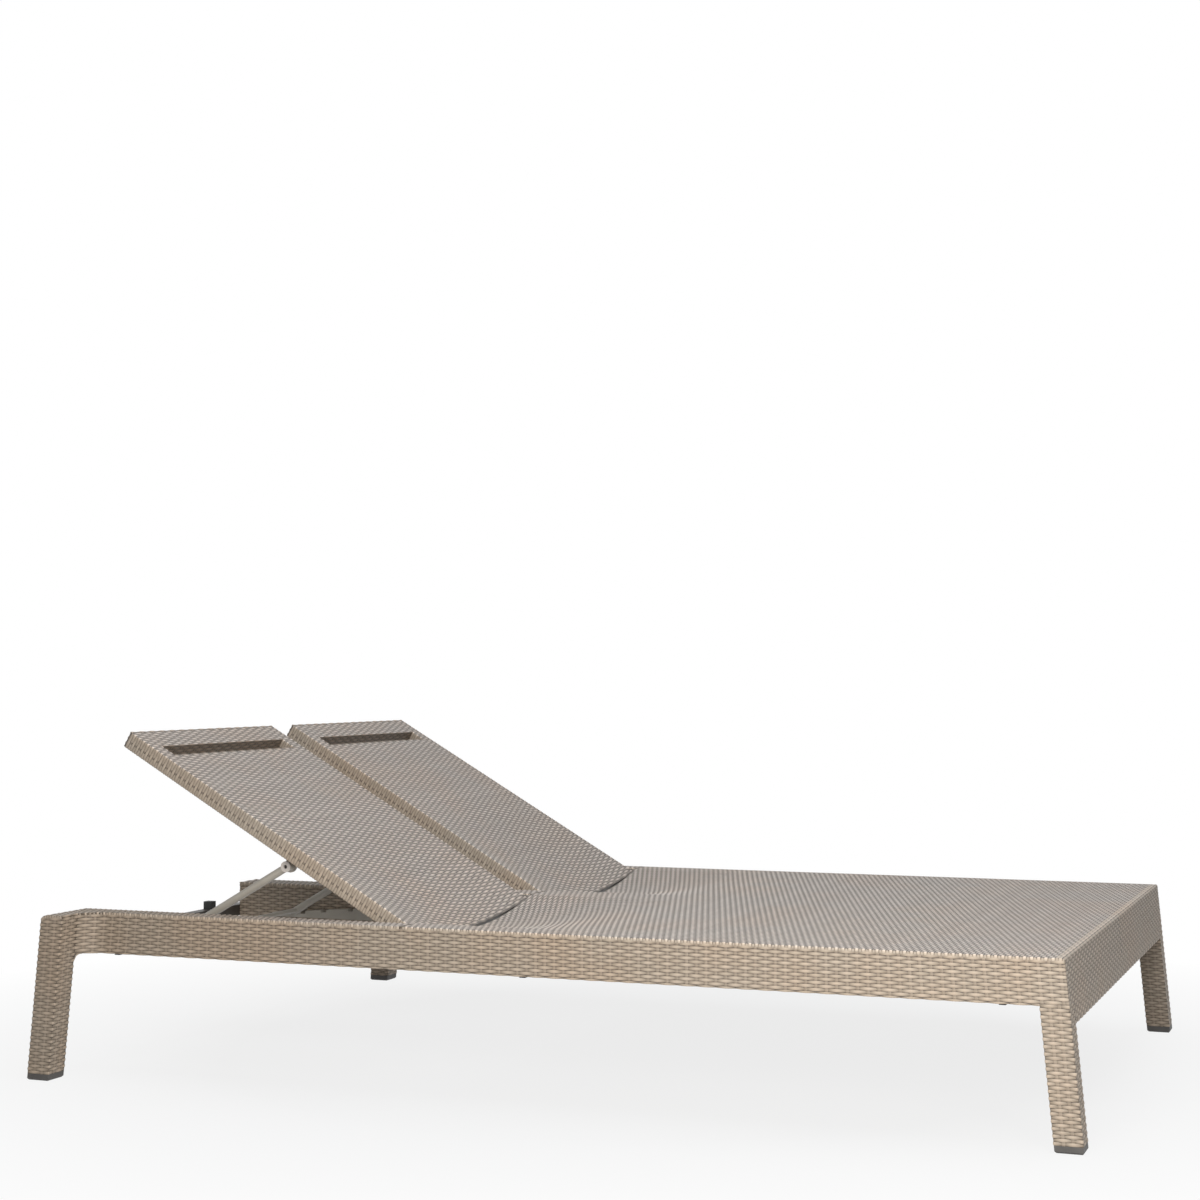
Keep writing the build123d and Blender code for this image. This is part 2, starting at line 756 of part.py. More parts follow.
for name, side in sides.items():
    head_leg(name, side)
    foot_leg(name, side)
    rail(name, side)
    seat_supports(name, side)
    hinge_studs(name, side)
    racks(name, side)
    backrest_weave(name, side)
    backrest_frame(name, side)
    backrest_lower_bar(name, side)
    prop(name, side)
centre_rail()
foot_beam()
head_end()
seat()
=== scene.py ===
import math

import bmesh
import bpy
import numpy as np
from mathutils import Matrix, Vector


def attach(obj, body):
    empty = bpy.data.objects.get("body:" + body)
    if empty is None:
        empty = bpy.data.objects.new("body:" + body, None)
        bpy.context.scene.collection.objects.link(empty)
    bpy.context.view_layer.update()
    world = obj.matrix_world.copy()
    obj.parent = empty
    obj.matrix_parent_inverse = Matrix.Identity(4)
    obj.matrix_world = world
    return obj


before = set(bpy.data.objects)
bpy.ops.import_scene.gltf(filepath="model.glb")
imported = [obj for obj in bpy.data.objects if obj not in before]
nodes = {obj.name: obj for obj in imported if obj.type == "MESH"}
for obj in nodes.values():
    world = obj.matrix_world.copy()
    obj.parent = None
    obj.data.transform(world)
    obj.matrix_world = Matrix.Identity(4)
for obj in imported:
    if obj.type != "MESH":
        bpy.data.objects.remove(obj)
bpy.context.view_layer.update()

scene = bpy.context.scene
sides = {"right": -1.0, "left": 1.0}
mm = 0.001

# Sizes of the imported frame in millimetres, which the woven faces follow
shape = {
    "deckTop": 330.0,
    "endReach": 1009.0,
    "splay": 0.094,
    "splayFrom": 500.0,
    "splayTo": 900.0,
    "railBottom": 248.0,
    "railInner": 631.0,
    "railOuter": 681.0,
    "legBack": 959.0,
    "legInner": 718.0,
    "legOuter": 770.0,
    "headRound": 12.0,
    "seatEdge": 250.0,
    "bayCentre": 334.25,
    "dishHalf": 282.25,
    "dishDepth": 38.0,
    "dishLength": 420.0,
}
top = shape["deckTop"]
low = shape["railBottom"]
reach = shape["endReach"]
legBack = shape["legBack"]
railIn = shape["railInner"]
railOut = shape["railOuter"]
legIn = shape["legInner"]
legOut = shape["legOuter"]
seatEdge = shape["seatEdge"]

# Strands: a flat synthetic ribbon that goes over one stake and under the next, in millimetres
weave = {
    "pitch": 6.15,
    "stake": 18.6,
    "highest": 1.1,
    "slip": 0.1,  # how far a strand strays sideways
    "flatter": 0.75,  # the height it keeps past a corner
    "settle": 0.35,  # how far level rows lie below turned edges
    "turnDown": 5.0,
    "cornerReach": 1.6,
    "cornerShare": 0.3,
    "cornerPush": 1.15,
    "edgeHeight": 0.72,
    "stakeHalf": 3.1,
    "stakeWide": 3.25,
    "stakeHigh": 0.9,
    "stakeFall": 0.5,
    "stakeDome": 0.7,
    "stakeShade": 0.2,
    # Darker dips past shadeFrom: painted shade for light raking across the foot panel
    "deeperPaintedShade": 0.34,
    "edgeShine": 0.6,
    # The next two give a painted highlight on the crests beside a corner, where an edge would catch
    # light
    "paintedCornerHighlightGain": 0.3,
    "paintedCornerHighlightReach": 2.4,
    "brightest": 1.3,
}
# Besides its shape, each form sets the painted shading: how dark the painted shade in the dips and
# along the edges is, how short the painted highlight on each crest is, and the painted shade on the
# stake faces
forms = {
    "rail": {
        "lowest": 0.1,
        "narrow": 2.95,
        "wide": 3.05,
        "drop": 0.75,
        "crestShape": 0.6,
        "paintedHighlightShape": 1.1,
        "dipPaintedShade": 0.5,
        "edgeShade": 0.42,
        "stakePaintedShading": 0.62,
    },
    "deck": {
        "lowest": 0.05,
        "narrow": 2.8,
        "wide": 2.95,
        "drop": 1.0,
        "crestShape": 0.9,
        "paintedHighlightShape": 1.6,
        "dipPaintedShade": 0.3,
        "edgeShade": 0.6,
        "stakePaintedShading": 0.45,
    },
}
profiles = {
    "face": np.array([-1.0, -0.45, 0.45, 1.0]),
    "corner": np.array([-1.0, -0.5, 0.0, 0.5, 1.0]),
    "hidden": np.array([-1.0, 0.0, 1.0]),
}


def lean(z):
    return shape["splay"] * (top - z)


def smooth(x, start, end):
    t = np.clip((x - start) / (end - start), 0.0, 1.0)
    return t * t * (3.0 - 2.0 * t)


# How far a person's bay sinks at a run in from its edge and a way off its middle
def dishSag(run, away):
    share = np.clip(run / shape["dishLength"], 0.0, 1.0)
    near = away / shape["dishHalf"]
    bowl = np.clip(1.0 - near * near, 0.0, 1.0)
    return shape["dishDepth"] * np.cos(share * math.pi * 0.5) ** 2 * bowl


def newStore(form="rail"):
    values = {label: [] for label in ("points", "uvs", "tones", "lifts", "sides")}
    return {"form": forms[form], "made": bmesh.new(), "values": values, "seed": 7}


# A long grid cut into ribbons, turned where their tops would face inwards; their points, which
# run across and then along each, are laid out when the piece is made
def addRibbons(store, turned, **values):
    count, along, across = values["tones"].shape
    wide = across - 1
    made = bmesh.new()
    bmesh.ops.create_grid(made, x_segments=wide, y_segments=count * along - 1, size=1.0)
    between = [face for k, face in enumerate(made.faces) if k // wide % along == along - 1]
    bmesh.ops.delete(made, geom=between, context="FACES")
    ribbons = bpy.data.meshes.new("ribbons")
    made.to_mesh(ribbons)
    made.free()
    store["made"].from_mesh(ribbons)
    bpy.data.meshes.remove(ribbons)
    for label, value in values.items():
        value = value[:, :, ::-1] if turned else value
        store["values"][label].append(value.reshape(count * along * across, -1))


def evenRows(start, end):
    count = max(1, round((end - start) / weave["pitch"]))
    return start + (end - start) / count * (np.arange(count) + 0.5)


def edgeRows(start, end):
    count = max(1, round((end - start) / weave["pitch"]))
    return np.linspace(start, end, count + 1)


# Sample places in step with the stakes, and at and beside each corner between the ends
def runSamples(stops, stake, start, parts):
    step = stake / parts
    first = math.ceil((stops[0] - start) / step)
    last = math.floor((stops[-1] - start) / step)
    grid = start + step * np.arange(first, last + 1)
    inner = stops[1:-1]
    near = weave["cornerReach"]
    fixed = np.unique(np.concatenate([stops, inner - near, inner + near]))
    fixed = fixed[(fixed >= stops[0]) & (fixed <= stops[-1])]
    free = grid[np.min(np.abs(grid[:, None] - fixed[None, :]), axis=1) > step * 0.25]
    return np.sort(np.concatenate([fixed, free]))


# The share of a strand that lies outside its span, at most one and at least corner's
def asideShare(u, span, corner=0.0):
    if not span:
        return np.zeros(u.shape)
    beyond = np.maximum(span[0] - u, u - span[1])
    return np.clip(beyond / weave["cornerReach"] * (1.0 - corner) + corner, 0.0, 1.0)


# Tells whether the ribbons' tops would face inwards
def facesIn(place, u, v):
    u = np.array([u])
    v = np.array([v])
    zero = np.zeros(1)
    here = place(u, v, zero)[0]
    along = place(u + 0.5, v, zero)[0] - here
    across = place(u, v + 0.5, zero)[0] - here
    out = place(u, v, zero + 1.0)[0] - here
    return np.dot(np.cross(along, across), out) > 0.0


# One strand for each place in rows, u along the strand and v across it; it lies flatter outside
# span, its dips get a deeper painted shade past shadeFrom, and tint is its share of the side
# colour, the painted shaded copy; each point also carries painted shading: painted highlight
# on its crests, painted shade in its dips and along its edges
def strands(
    store,
    place,
    stops,
    rows,
    parity=0,
    stake=None,
    start=0.0,
    profile="face",
    span=None,
    shadeFrom=None,
    tint=0.0,
):
    form = store["form"]
    t = profiles[profile]
    stake = stake or weave["stake"]
    rows = np.atleast_1d(np.asarray(rows, float))
    stops = np.asarray(stops, float)
    u = runSamples(stops, stake, start, 2 if profile == "hidden" else 4)
    order = np.arange(len(rows)) + parity
    wave = 0.5 + 0.5 * np.cos(math.pi * ((u[None, :] - start) / stake + order[:, None]))
    aside = asideShare(u, span, 0.5)
    level = (1.0 - wave) * aside[None, :] * weave["flatter"]
    crest = np.clip(wave ** form["crestShape"] + level, 0.0, 1.0)
    paintedHighlight = wave ** form["paintedHighlightShape"] + level

    random = np.random.default_rng(store["seed"])
    store["seed"] += 1
    rowTone = random.random(len(rows))
    strayed = rows
    if profile == "face":
        strayed = rows + random.normal(0.0, weave["slip"], len(rows))

    grid = (len(rows), len(u), len(t))
    high = form["lowest"] + (weave["highest"] - form["lowest"]) * crest
    wide = form["narrow"] + (form["wide"] - form["narrow"]) * wave
    uGrid = np.broadcast_to(u[None, :, None], grid)
    vGrid = strayed[:, None, None] + wide[:, :, None] * t[None, None, :]
    hGrid = high[:, :, None] - form["drop"] * t[None, None, :] ** 2

    # Painted shading: painted highlight on each crest, painted shade in the dips and painted shade
    # along the strand's edges where the rows meet
    dipPaintedShade = np.full(len(u), form["dipPaintedShade"])
    if shadeFrom is not None:
        dipPaintedShade = dipPaintedShade - weave["deeperPaintedShade"] * (u > shadeFrom)
    edgeShade = form["edgeShade"] * (1.0 - weave["edgeShine"] * aside)
    lift = (dipPaintedShade + (1.0 - dipPaintedShade) * paintedHighlight)[:, :, None]
    lift = lift - edgeShade[None, :, None] * t[None, None, :] ** 2
    # Painted highlight on the crests beside each corner of the span
    if span:
        corner = np.minimum(np.abs(u - span[0]), np.abs(u - span[1]))
        paintedCornerHighlight = np.clip(1.5 - corner / weave["paintedCornerHighlightReach"], 0.0, 1.0) * wave**2
        lift = lift + weave["paintedCornerHighlightGain"] * paintedCornerHighlight[:, :, None]

    turned = facesIn(place, u[len(u) // 3] + 0.7, rows[len(rows) // 2] + 0.3)
    addRibbons(
        store,
        turned,
        points=place(uGrid, vGrid, hGrid),
        uvs=np.stack([uGrid, vGrid], axis=-1) * mm,
        tones=np.broadcast_to(rowTone[:, None, None], grid),
        lifts=np.clip(lift, 0.0, weave["brightest"]),
        sides=np.maximum(asideShare(uGrid, span), tint),
    )
    if profile == "face":
        stakeFaces(store, turned, place, stops, rows, order, stake, start, span, tint)


# Where a strand dips, the stake that lies over it shows between the two strands beside it
def stakeFaces(store, turned, place, stops, rows, order, stake, start, span, tint):
    form = store["form"]
    half = weave["stakeHalf"]
    first = math.ceil((stops[0] + half - start) / stake)
    last = math.floor((stops[-1] - half - start) / stake)
    number = np.arange(first, last + 1)
    at = start + stake * number
    clear = np.min(np.abs(at[:, None] - stops[None, :]), axis=1) > half + weave["cornerReach"]
    number = number[clear]
    at = at[clear]
    row, column = np.nonzero((number[None, :] + order[:, None]) % 2 == 1)
    if len(row) == 0:
        return
    a = np.array([-1.0, -0.75, 0.75, 1.0]) * half
    t = np.array([-1.0, 0.0, 1.0])
    dome = weave["stakeDome"] * t[None, None, :] ** 2
    ends = np.array([1.0, 0.0, 0.0, 1.0])[None, :, None]
    grid = (len(row), len(a), len(t))
    uGrid = np.broadcast_to(at[column][:, None, None] + a[None, :, None], grid)
    vGrid = np.broadcast_to(rows[row][:, None, None] + weave["stakeWide"] * t[None, None, :], grid)
    hGrid = weave["stakeHigh"] - weave["stakeFall"] * ends - dome + np.zeros(grid)
    # Painted shade on the stake faces, darker at their ends and edges
    lift = form["stakePaintedShading"] - weave["stakeShade"] * ends - form["edgeShade"] * dome
    toneOf = np.random.default_rng(store["seed"] + 1000).random(len(at))
    addRibbons(
        store,
        turned,
        points=place(uGrid, vGrid, hGrid),
        uvs=np.stack([vGrid, uGrid], axis=-1) * mm,
        tones=np.broadcast_to(toneOf[column][:, None, None], grid),
        lifts=np.clip(lift + np.zeros(grid), 0.0, 1.0),
        sides=np.maximum(asideShare(uGrid, span), tint),
    )


# Follows an outline of corners and gives the place and the outward way at any run along it
def tracer(corners, closed=False, inward=False):
    corners = [np.array(corner, float) for corner in corners]
    count = len(corners) if closed else len(corners) - 1
    turn = -1.0 if inward else 1.0
    ways = []
    for k in range(count):
        leg = corners[(k + 1) % len(corners)] - corners[k]
        leg = leg / np.linalg.norm(leg)
        ways.append(np.array([leg[1], -leg[0]]) * turn)
    runs = []
    places = []
    outs = []
    total = 0.0
    stops = [0.0]
    for k in range(count):
        a = corners[k]
        b = corners[(k + 1) % len(corners)]
        length = np.linalg.norm(b - a)
        before = ways[k - 1] if k > 0 or closed else ways[k]
        after = ways[k + 1] if k + 1 < count else (ways[0] if closed else ways[k])
        near = min(weave["cornerReach"], length * weave["cornerShare"])
        way = (b - a) / length
        for at, place, out in (
            (0.0, a, before + ways[k]),
            (near, a + way * near, ways[k]),
            (length - near, b - way * near, ways[k]),
            (length, b, ways[k] + after),
        ):
            if np.linalg.norm(out) > 1.01:
                out = out / np.linalg.norm(out) * weave["cornerPush"]
            runs.append(total + at + (1e-6 if at == 0.0 and k > 0 else 0.0))
            places.append(place)
            outs.append(out)
        total += length
        stops.append(total)
    runs = np.array(runs)
    places = np.array(places)
    outs = np.array(outs)

    def follow(s):
        if closed:
            s = np.mod(s, total)
        at = [np.interp(s, runs, places[:, k]) for k in (0, 1)]
        out = [np.interp(s, runs, outs[:, k]) for k in (0, 1)]
        return (*at, *out)

    return follow, np.array(stops)


def arc(centre, radius, first, last, count):
    angles = np.radians(np.linspace(first, last, count))
    return [(centre[0] + radius * math.cos(a), centre[1] + radius * math.sin(a)) for a in angles]


def strandObject(name, store, material, body):
    mesh = bpy.data.meshes.new(name)
    store["made"].to_mesh(mesh)
    store["made"].free()
    values = {}
    for label, parts in store["values"].items():
        values[label] = np.concatenate(parts).astype(np.float32)
    mesh.vertices.foreach_set("co", values["points"].reshape(-1))
    corners = np.empty(len(mesh.loops), np.int32)
    mesh.loops.foreach_get("vertex_index", corners)
    layer = mesh.uv_layers.new(name="strandUV")
    layer.data.foreach_set("uv", values["uvs"][corners].reshape(-1))
    read = {"strandTone": "tones", "strandPaintedShading": "lifts", "strandShadedSide": "sides"}
    for label, source in read.items():
        attribute = mesh.attributes.new(label, "FLOAT", "POINT")
        attribute.data.foreach_set("value", values[source].reshape(-1))
    mesh.polygons.foreach_set("use_smooth", np.ones(len(mesh.polygons), bool))
    mesh.update()
    mesh.materials.append(materials[material])
    piece = bpy.data.objects.new(name, mesh)
    scene.collection.objects.link(piece)
    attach(piece, body)
    print(name, "faces", len(mesh.polygons), flush=True)


# Materials: a socket takes another's output, a colour or a plain value
def setSocket(tree, socket, value):
    if isinstance(value, bpy.types.NodeSocket):
        tree.links.new(value, socket)
    else:
        socket.default_value = (*value, 1.0) if socket.type == "RGBA" else value


def socketMath(tree, operation, *values):
    node = tree.nodes.new("ShaderNodeMath")
    node.operation = operation
    for socket, value in zip(node.inputs, values):
        setSocket(tree, socket, value)
    return node.outputs[0]


def mixColour(tree, factor, first, second, blend="MIX"):
    node = tree.nodes.new("ShaderNodeMix")
    node.data_type = "RGBA"
    node.blend_type = blend
    for slot, value in ((0, factor), (6, first), (7, second)):
        setSocket(tree, node.inputs[slot], value)
    return node.outputs[2]


def noise(tree, vector, scale, detail, roughness):
    node = tree.nodes.new("ShaderNodeTexNoise")
    values = {"Vector": vector, "Scale": scale, "Detail": detail, "Roughness": roughness}
    for label, value in values.items():
        setSocket(tree, node.inputs[label], value)
    return node.outputs["Fac"]


def stretched(tree, vector, scale):
    node = tree.nodes.new("ShaderNodeMapping")
    setSocket(tree, node.inputs["Vector"], vector)
    setSocket(tree, node.inputs["Scale"], scale)
    return node.outputs[0]


def ramp(tree, value, start, end, outStart=0.0, outEnd=1.0):
    node = tree.nodes.new("ShaderNodeMapRange")
    for socket, number in zip(node.inputs, (value, start, end, outStart, outEnd)):
        setSocket(tree, socket, number)
    return node.outputs[0]


def bump(tree, height, strength, distance):
    node = tree.nodes.new("ShaderNodeBump")
    for label, value in (("Height", height), ("Strength", strength), ("Distance", distance)):
        setSocket(tree, node.inputs[label], value)
    return node.outputs[0]


def newMaterial(name):
    material = bpy.data.materials.new(name)
    material.use_nodes = True
    tree = material.node_tree
    tree.nodes.clear()
    output = tree.nodes.new("ShaderNodeOutputMaterial")
    shader = tree.nodes.new("ShaderNodeBsdfPrincipled")
    tree.links.new(shader.outputs[0], output.inputs[0])
    return material, tree, shader


# A group is built once and placed in each material with its own values
def newGroup(name, inputs, outputs):
    group = bpy.data.node_groups.new(name, "ShaderNodeTree")
    for way, sockets in (("INPUT", inputs), ("OUTPUT", outputs)):
        for label, kind in sockets.items():
            group.interface.new_socket(label, in_out=way, socket_type=f"NodeSocket{kind}")
    start = group.nodes.new("NodeGroupInput")
    end = group.nodes.new("NodeGroupOutput")
    return group, start.outputs, end.inputs


def placeGroup(tree, group, values):
    node = tree.nodes.new("ShaderNodeGroup")
    node.node_tree = group
    for label, value in values.items():
        setSocket(tree, node.inputs[label], value)
    return node


strandLook = {
    # The first two values bound the painted shading, from the darkest painted shade in the gaps to
    # the brightest painted highlight on the crests
    "gap": 0.18,
    "crest": 1.4,
    "smoothest": 0.44,
    "roughest": 0.6,
    "specular": 0.4,
    # The deck colours on the tops are lighter and greyer and the side colours and rail colours
    # darker and warmer: lit and shaded copies of one woven material, painted light on the tops and
    # painted shade on the sides
    "deck": {
        "Light": (0.7, 0.61, 0.53),
        "Dark": (0.43, 0.37, 0.315),
        "Shaded Side Light": (0.58, 0.485, 0.39),
        "Shaded Side Dark": (0.36, 0.293, 0.225),
    },
    "rail": {"Light": (0.59, 0.48, 0.375), "Dark": (0.35, 0.278, 0.206)},
    # The slot colours are the rail colours at about half: painted shadow on the slot's walls
    "slot": {"Light": (0.3, 0.235, 0.175), "Dark": (0.15, 0.115, 0.085)},
}


# Synthetic strand: lengthwise grain, a tone for each strand, and painted shading multiplied into
# the colour: painted shade where it dips and along its edges, painted highlight on its crests
def strandGroup():
    inputs = {"Run": "Vector", "Place": "Vector"}
    inputs.update({label: "Float" for label in ("Tone", "Lift", "Shaded Side")})
    inputs.update({label: "Color" for label in strandLook["deck"]})
    outputs = {"Colour": "Color", "Roughness": "Float", "Grain": "Float"}
    group, start, end = newGroup("strandTones", inputs, outputs)
    grain = noise(group, stretched(group, start["Run"], (60.0, 2600.0, 1.0)), 1.0, 3.0, 0.6)
    blotch = noise(group, stretched(group, start["Run"], (25.0, 160.0, 1.0)), 1.0, 2.0, 0.5)
    cloud = noise(group, start["Place"], 5.0, 3.0, 0.55)
    shade = socketMath(group, "MULTIPLY_ADD", start["Tone"], 0.3, 0.1)
    shade = socketMath(group, "MULTIPLY_ADD", grain, 0.4, shade)
    shade = socketMath(group, "MULTIPLY_ADD", blotch, 0.4, shade)
    face = mixColour(group, shade, start["Dark"], start["Light"])
    aside = mixColour(group, shade, start["Shaded Side Dark"], start["Shaded Side Light"])
    # Side faces take the darker, warmer side colour, painted shade
    colour = mixColour(group, start["Shaded Side"], face, aside)
    warm = mixColour(group, ramp(group, cloud, 0.4, 0.65), (0.98, 1.0, 1.02), (1.03, 0.985, 0.95))
    colour = mixColour(group, 0.9, colour, warm, "MULTIPLY")
    # Painted shading: painted shade in the gaps up to a painted highlight on the crests
    shades = (strandLook["gap"], strandLook["crest"])
    paintedShadingFactor = ramp(group, start["Lift"], 0.0, weave["brightest"], *shades)
    grey = group.nodes.new("ShaderNodeCombineColor")
    for socket in grey.inputs:
        group.links.new(paintedShadingFactor, socket)
    rough = ramp(group, grain, 0.3, 0.7, strandLook["smoothest"], strandLook["roughest"])
    group.links.new(mixColour(group, 1.0, colour, grey.outputs[0], "MULTIPLY"), end["Colour"])
    group.links.new(rough, end["Roughness"])
    group.links.new(grain, end["Grain"])
    return group


def strandMaterial(name, look):
    material, tree, shader = newMaterial(name)
    coords = tree.nodes.new("ShaderNodeUVMap")
    coords.uv_map = "strandUV"
    place = tree.nodes.new("ShaderNodeTexCoord").outputs["Object"]
    node = placeGroup(tree, strandTones, {"Run": coords.outputs[0], "Place": place, **look})
    read = {"Tone": "strandTone", "Lift": "strandPaintedShading"}
    if "Shaded Side Light" in look:
        read["Shaded Side"] = "strandShadedSide"
    for label, source in read.items():
        attribute = tree.nodes.new("ShaderNodeAttribute")
        attribute.attribute_name = source
        tree.links.new(attribute.outputs["Fac"], node.inputs[label])
    tree.links.new(node.outputs["Colour"], shader.inputs["Base Color"])
    tree.links.new(node.outputs["Roughness"], shader.inputs["Roughness"])
    tree.links.new(bump(tree, node.outputs["Grain"], 0.35, 0.0002), shader.inputs["Normal"])
    shader.inputs["Specular IOR Level"].default_value = strandLook["specular"]
    return material


# The sheet behind the strands: the same plain weave, turned to run across, in the strands' dark
# colour darkened further, painted shade where it shows between them, with painted shade in its dips
def backingGroup():
    inputs = {"Place": "Vector", "Facing": "Vector", "Turned": "Float"}
    inputs.update({"Deep": "Color", "Pale": "Color"})
    group, start, end = newGroup("plainWeave", inputs, {"Colour": "Color", "Height": "Float"})
    parts = group.nodes.new("ShaderNodeSeparateXYZ")
    group.links.new(start["Place"], parts.inputs[0])
    facing = group.nodes.new("ShaderNodeSeparateXYZ")
    group.links.new(start["Facing"], facing.inputs[0])
    x, y, z = parts.outputs
    apart = socketMath(group, "SUBTRACT", y, x)
    along = socketMath(group, "MULTIPLY_ADD", apart, start["Turned"], x)
    levelAcross = socketMath(group, "SUBTRACT", socketMath(group, "ADD", x, y), along)
    level = socketMath(group, "GREATER_THAN", socketMath(group, "ABSOLUTE", facing.outputs[2]), 0.6)
    steep = socketMath(group, "SUBTRACT", 1.0, level)
    flatPart = socketMath(group, "MULTIPLY", levelAcross, level)
    across = socketMath(group, "MULTIPLY_ADD", z, steep, flatPart)
    row = socketMath(group, "DIVIDE", across, weave["pitch"] * mm)
    stake = socketMath(group, "DIVIDE", along, weave["stake"] * mm)
    part = socketMath(group, "SUBTRACT", socketMath(group, "FRACT", row), 0.5)
    fall = socketMath(group, "MULTIPLY", socketMath(group, "MULTIPLY", part, part), 3.6)
    dome = socketMath(group, "SUBTRACT", 1.0, fall)
    count = socketMath(group, "ADD", stake, socketMath(group, "FLOOR", row))
    angle = socketMath(group, "MULTIPLY", count, math.pi)
    crest = socketMath(group, "MULTIPLY_ADD", socketMath(group, "COSINE", angle), 0.5, 0.5)
    height = socketMath(group, "MULTIPLY", crest, dome)
    grain = noise(group, start["Place"], 90.0, 3.0, 0.6)
    # Painted shade: the weave's dips and row edges are darker
    shade = socketMath(group, "MULTIPLY", height, 0.62)
    shade = socketMath(group, "MULTIPLY_ADD", grain, 0.2, shade)
    group.links.new(mixColour(group, shade, start["Deep"], start["Pale"]), end["Colour"])
    group.links.new(height, end["Height"])
    return group


surfaceOutputs = {"Colour": "Color", "Roughness": "Float", "Height": "Float"}


# Powder coat: a fine peel, with dust in clouds
def paintGroup():
    inputs = {"Place": "Vector", "Colour": "Color", "Dust": "Color"}
    inputs.update({"Smoothest": "Float", "Roughest": "Float"})
    group, start, end = newGroup("paintSurface", inputs, surfaceOutputs)
    cloud = noise(group, start["Place"], 14.0, 4.0, 0.6)
    dust = ramp(group, cloud, 0.45, 0.75)
    rough = ramp(group, cloud, 0.3, 0.7, start["Smoothest"], start["Roughest"])
    group.links.new(mixColour(group, dust, start["Colour"], start["Dust"]), end["Colour"])
    group.links.new(rough, end["Roughness"])
    group.links.new(noise(group, start["Place"], 900.0, 2.0, 0.5), end["Height"])
    return group


# Moulded plastic and rubber: a fine grain, with paler clouds
def plasticGroup():
    inputs = {"Place": "Vector", "Grain Scale": "Float", "Colour": "Color", "Paler": "Color"}
    inputs.update({"Smoothest": "Float", "Roughest": "Float"})
    group, start, end = newGroup("plasticSurface", inputs, surfaceOutputs)
    grain = noise(group, start["Place"], start["Grain Scale"], 3.0, 0.6)
    cloud = ramp(group, noise(group, start["Place"], 30.0, 3.0, 0.5), 0.35, 0.7)
    rough = ramp(group, grain, 0.3, 0.7, start["Smoothest"], start["Roughest"])
    group.links.new(mixColour(group, cloud, start["Colour"], start["Paler"]), end["Colour"])
    group.links.new(rough, end["Roughness"])
    group.links.new(grain, end["Height"])
    return group


# Steel: fine brushed lines
def steelGroup():
    inputs = {"Place": "Vector", "Dark": "Color", "Pale": "Color"}
    group, start, end = newGroup("steelSurface", inputs, surfaceOutputs)
    lines = noise(group, stretched(group, start["Place"], (900.0, 60.0, 900.0)), 1.0, 3.0, 0.6)
    group.links.new(mixColour(group, lines, start["Dark"], start["Pale"]), end["Colour"])
    group.links.new(ramp(group, lines, 0.3, 0.7, 0.24, 0.42), end["Roughness"])
    group.links.new(lines, end["Height"])
    return group


def surfaceMaterial(name, group, values, bumps, roughness=None, metallic=0.0):
    material, tree, shader = newMaterial(name)
    sources = {"Place": tree.nodes.new("ShaderNodeTexCoord").outputs["Object"]}
    if "Turned" in values:
        sources["Facing"] = tree.nodes.new("ShaderNodeNewGeometry").outputs["Normal"]
    node = placeGroup(tree, group, {**sources, **values})
    tree.links.new(node.outputs["Colour"], shader.inputs["Base Color"])
    tree.links.new(bump(tree, node.outputs["Height"], *bumps), shader.inputs["Normal"])
    setSocket(tree, shader.inputs["Roughness"], roughness or node.outputs["Roughness"])
    shader.inputs["Metallic"].default_value = metallic
    return material


paints = {
    "darkPaint": {
        "Colour": (0.045, 0.038, 0.032),
        "Dust": (0.09, 0.078, 0.065),
        "Smoothest": 0.38,
        "Roughest": 0.55,
    },
    "greyPaint": {
        "Colour": (0.46, 0.425, 0.37),
        "Dust": (0.54, 0.505, 0.445),
        "Smoothest": 0.35,
        "Roughest": 0.52,
    },
}
plastics = {
    "capPlastic": {
        "Colour": (0.075, 0.07, 0.066),
        "Paler": (0.11125, 0.1045, 0.0991),
        "Grain Scale": 1400.0,
        "Smoothest": 0.49,
        "Roughest": 0.63,
    },
    "blackRubber": {
        "Colour": (0.012, 0.012, 0.012),
        "Paler": (0.0262, 0.0262, 0.0262),
        "Grain Scale": 900.0,
        "Smoothest": 0.54,
        "Roughest": 0.68,
    },
    "palePlastic": {
        "Colour": (0.6, 0.55, 0.51),
        "Paler": (0.82, 0.7525, 0.6985),
        "Grain Scale": 1600.0,
        "Smoothest": 0.34,
        "Roughest": 0.48,
    },
}
plasticBumps = {"capPlastic": 0.3, "blackRubber": 0.4, "palePlastic": 0.15}
steels = {
    "brushedSteel": {"Dark": (0.38, 0.37, 0.36), "Pale": (0.6, 0.59, 0.57)},
    "blackSteel": {"Dark": (0.03, 0.028, 0.026), "Pale": (0.08, 0.075, 0.07)},
}
backings = {
    "deckBacking": ("deck", 1.0),
    "railBacking": ("rail", 0.0),
    "crossBacking": ("rail", 1.0),
}
# Backing colours: the dark strand colour darkened to a fifth and to seven tenths, painted shade
backingLook = {"paintedShadeDeepest": 0.2, "paintedShadeLightest": 0.7, "roughness": 0.62, "bumps": (0.8, 0.0014)}

strandTones = strandGroup()
plainWeave = backingGroup()
paintSurface = paintGroup()
plasticSurface = plasticGroup()
steelSurface = steelGroup()

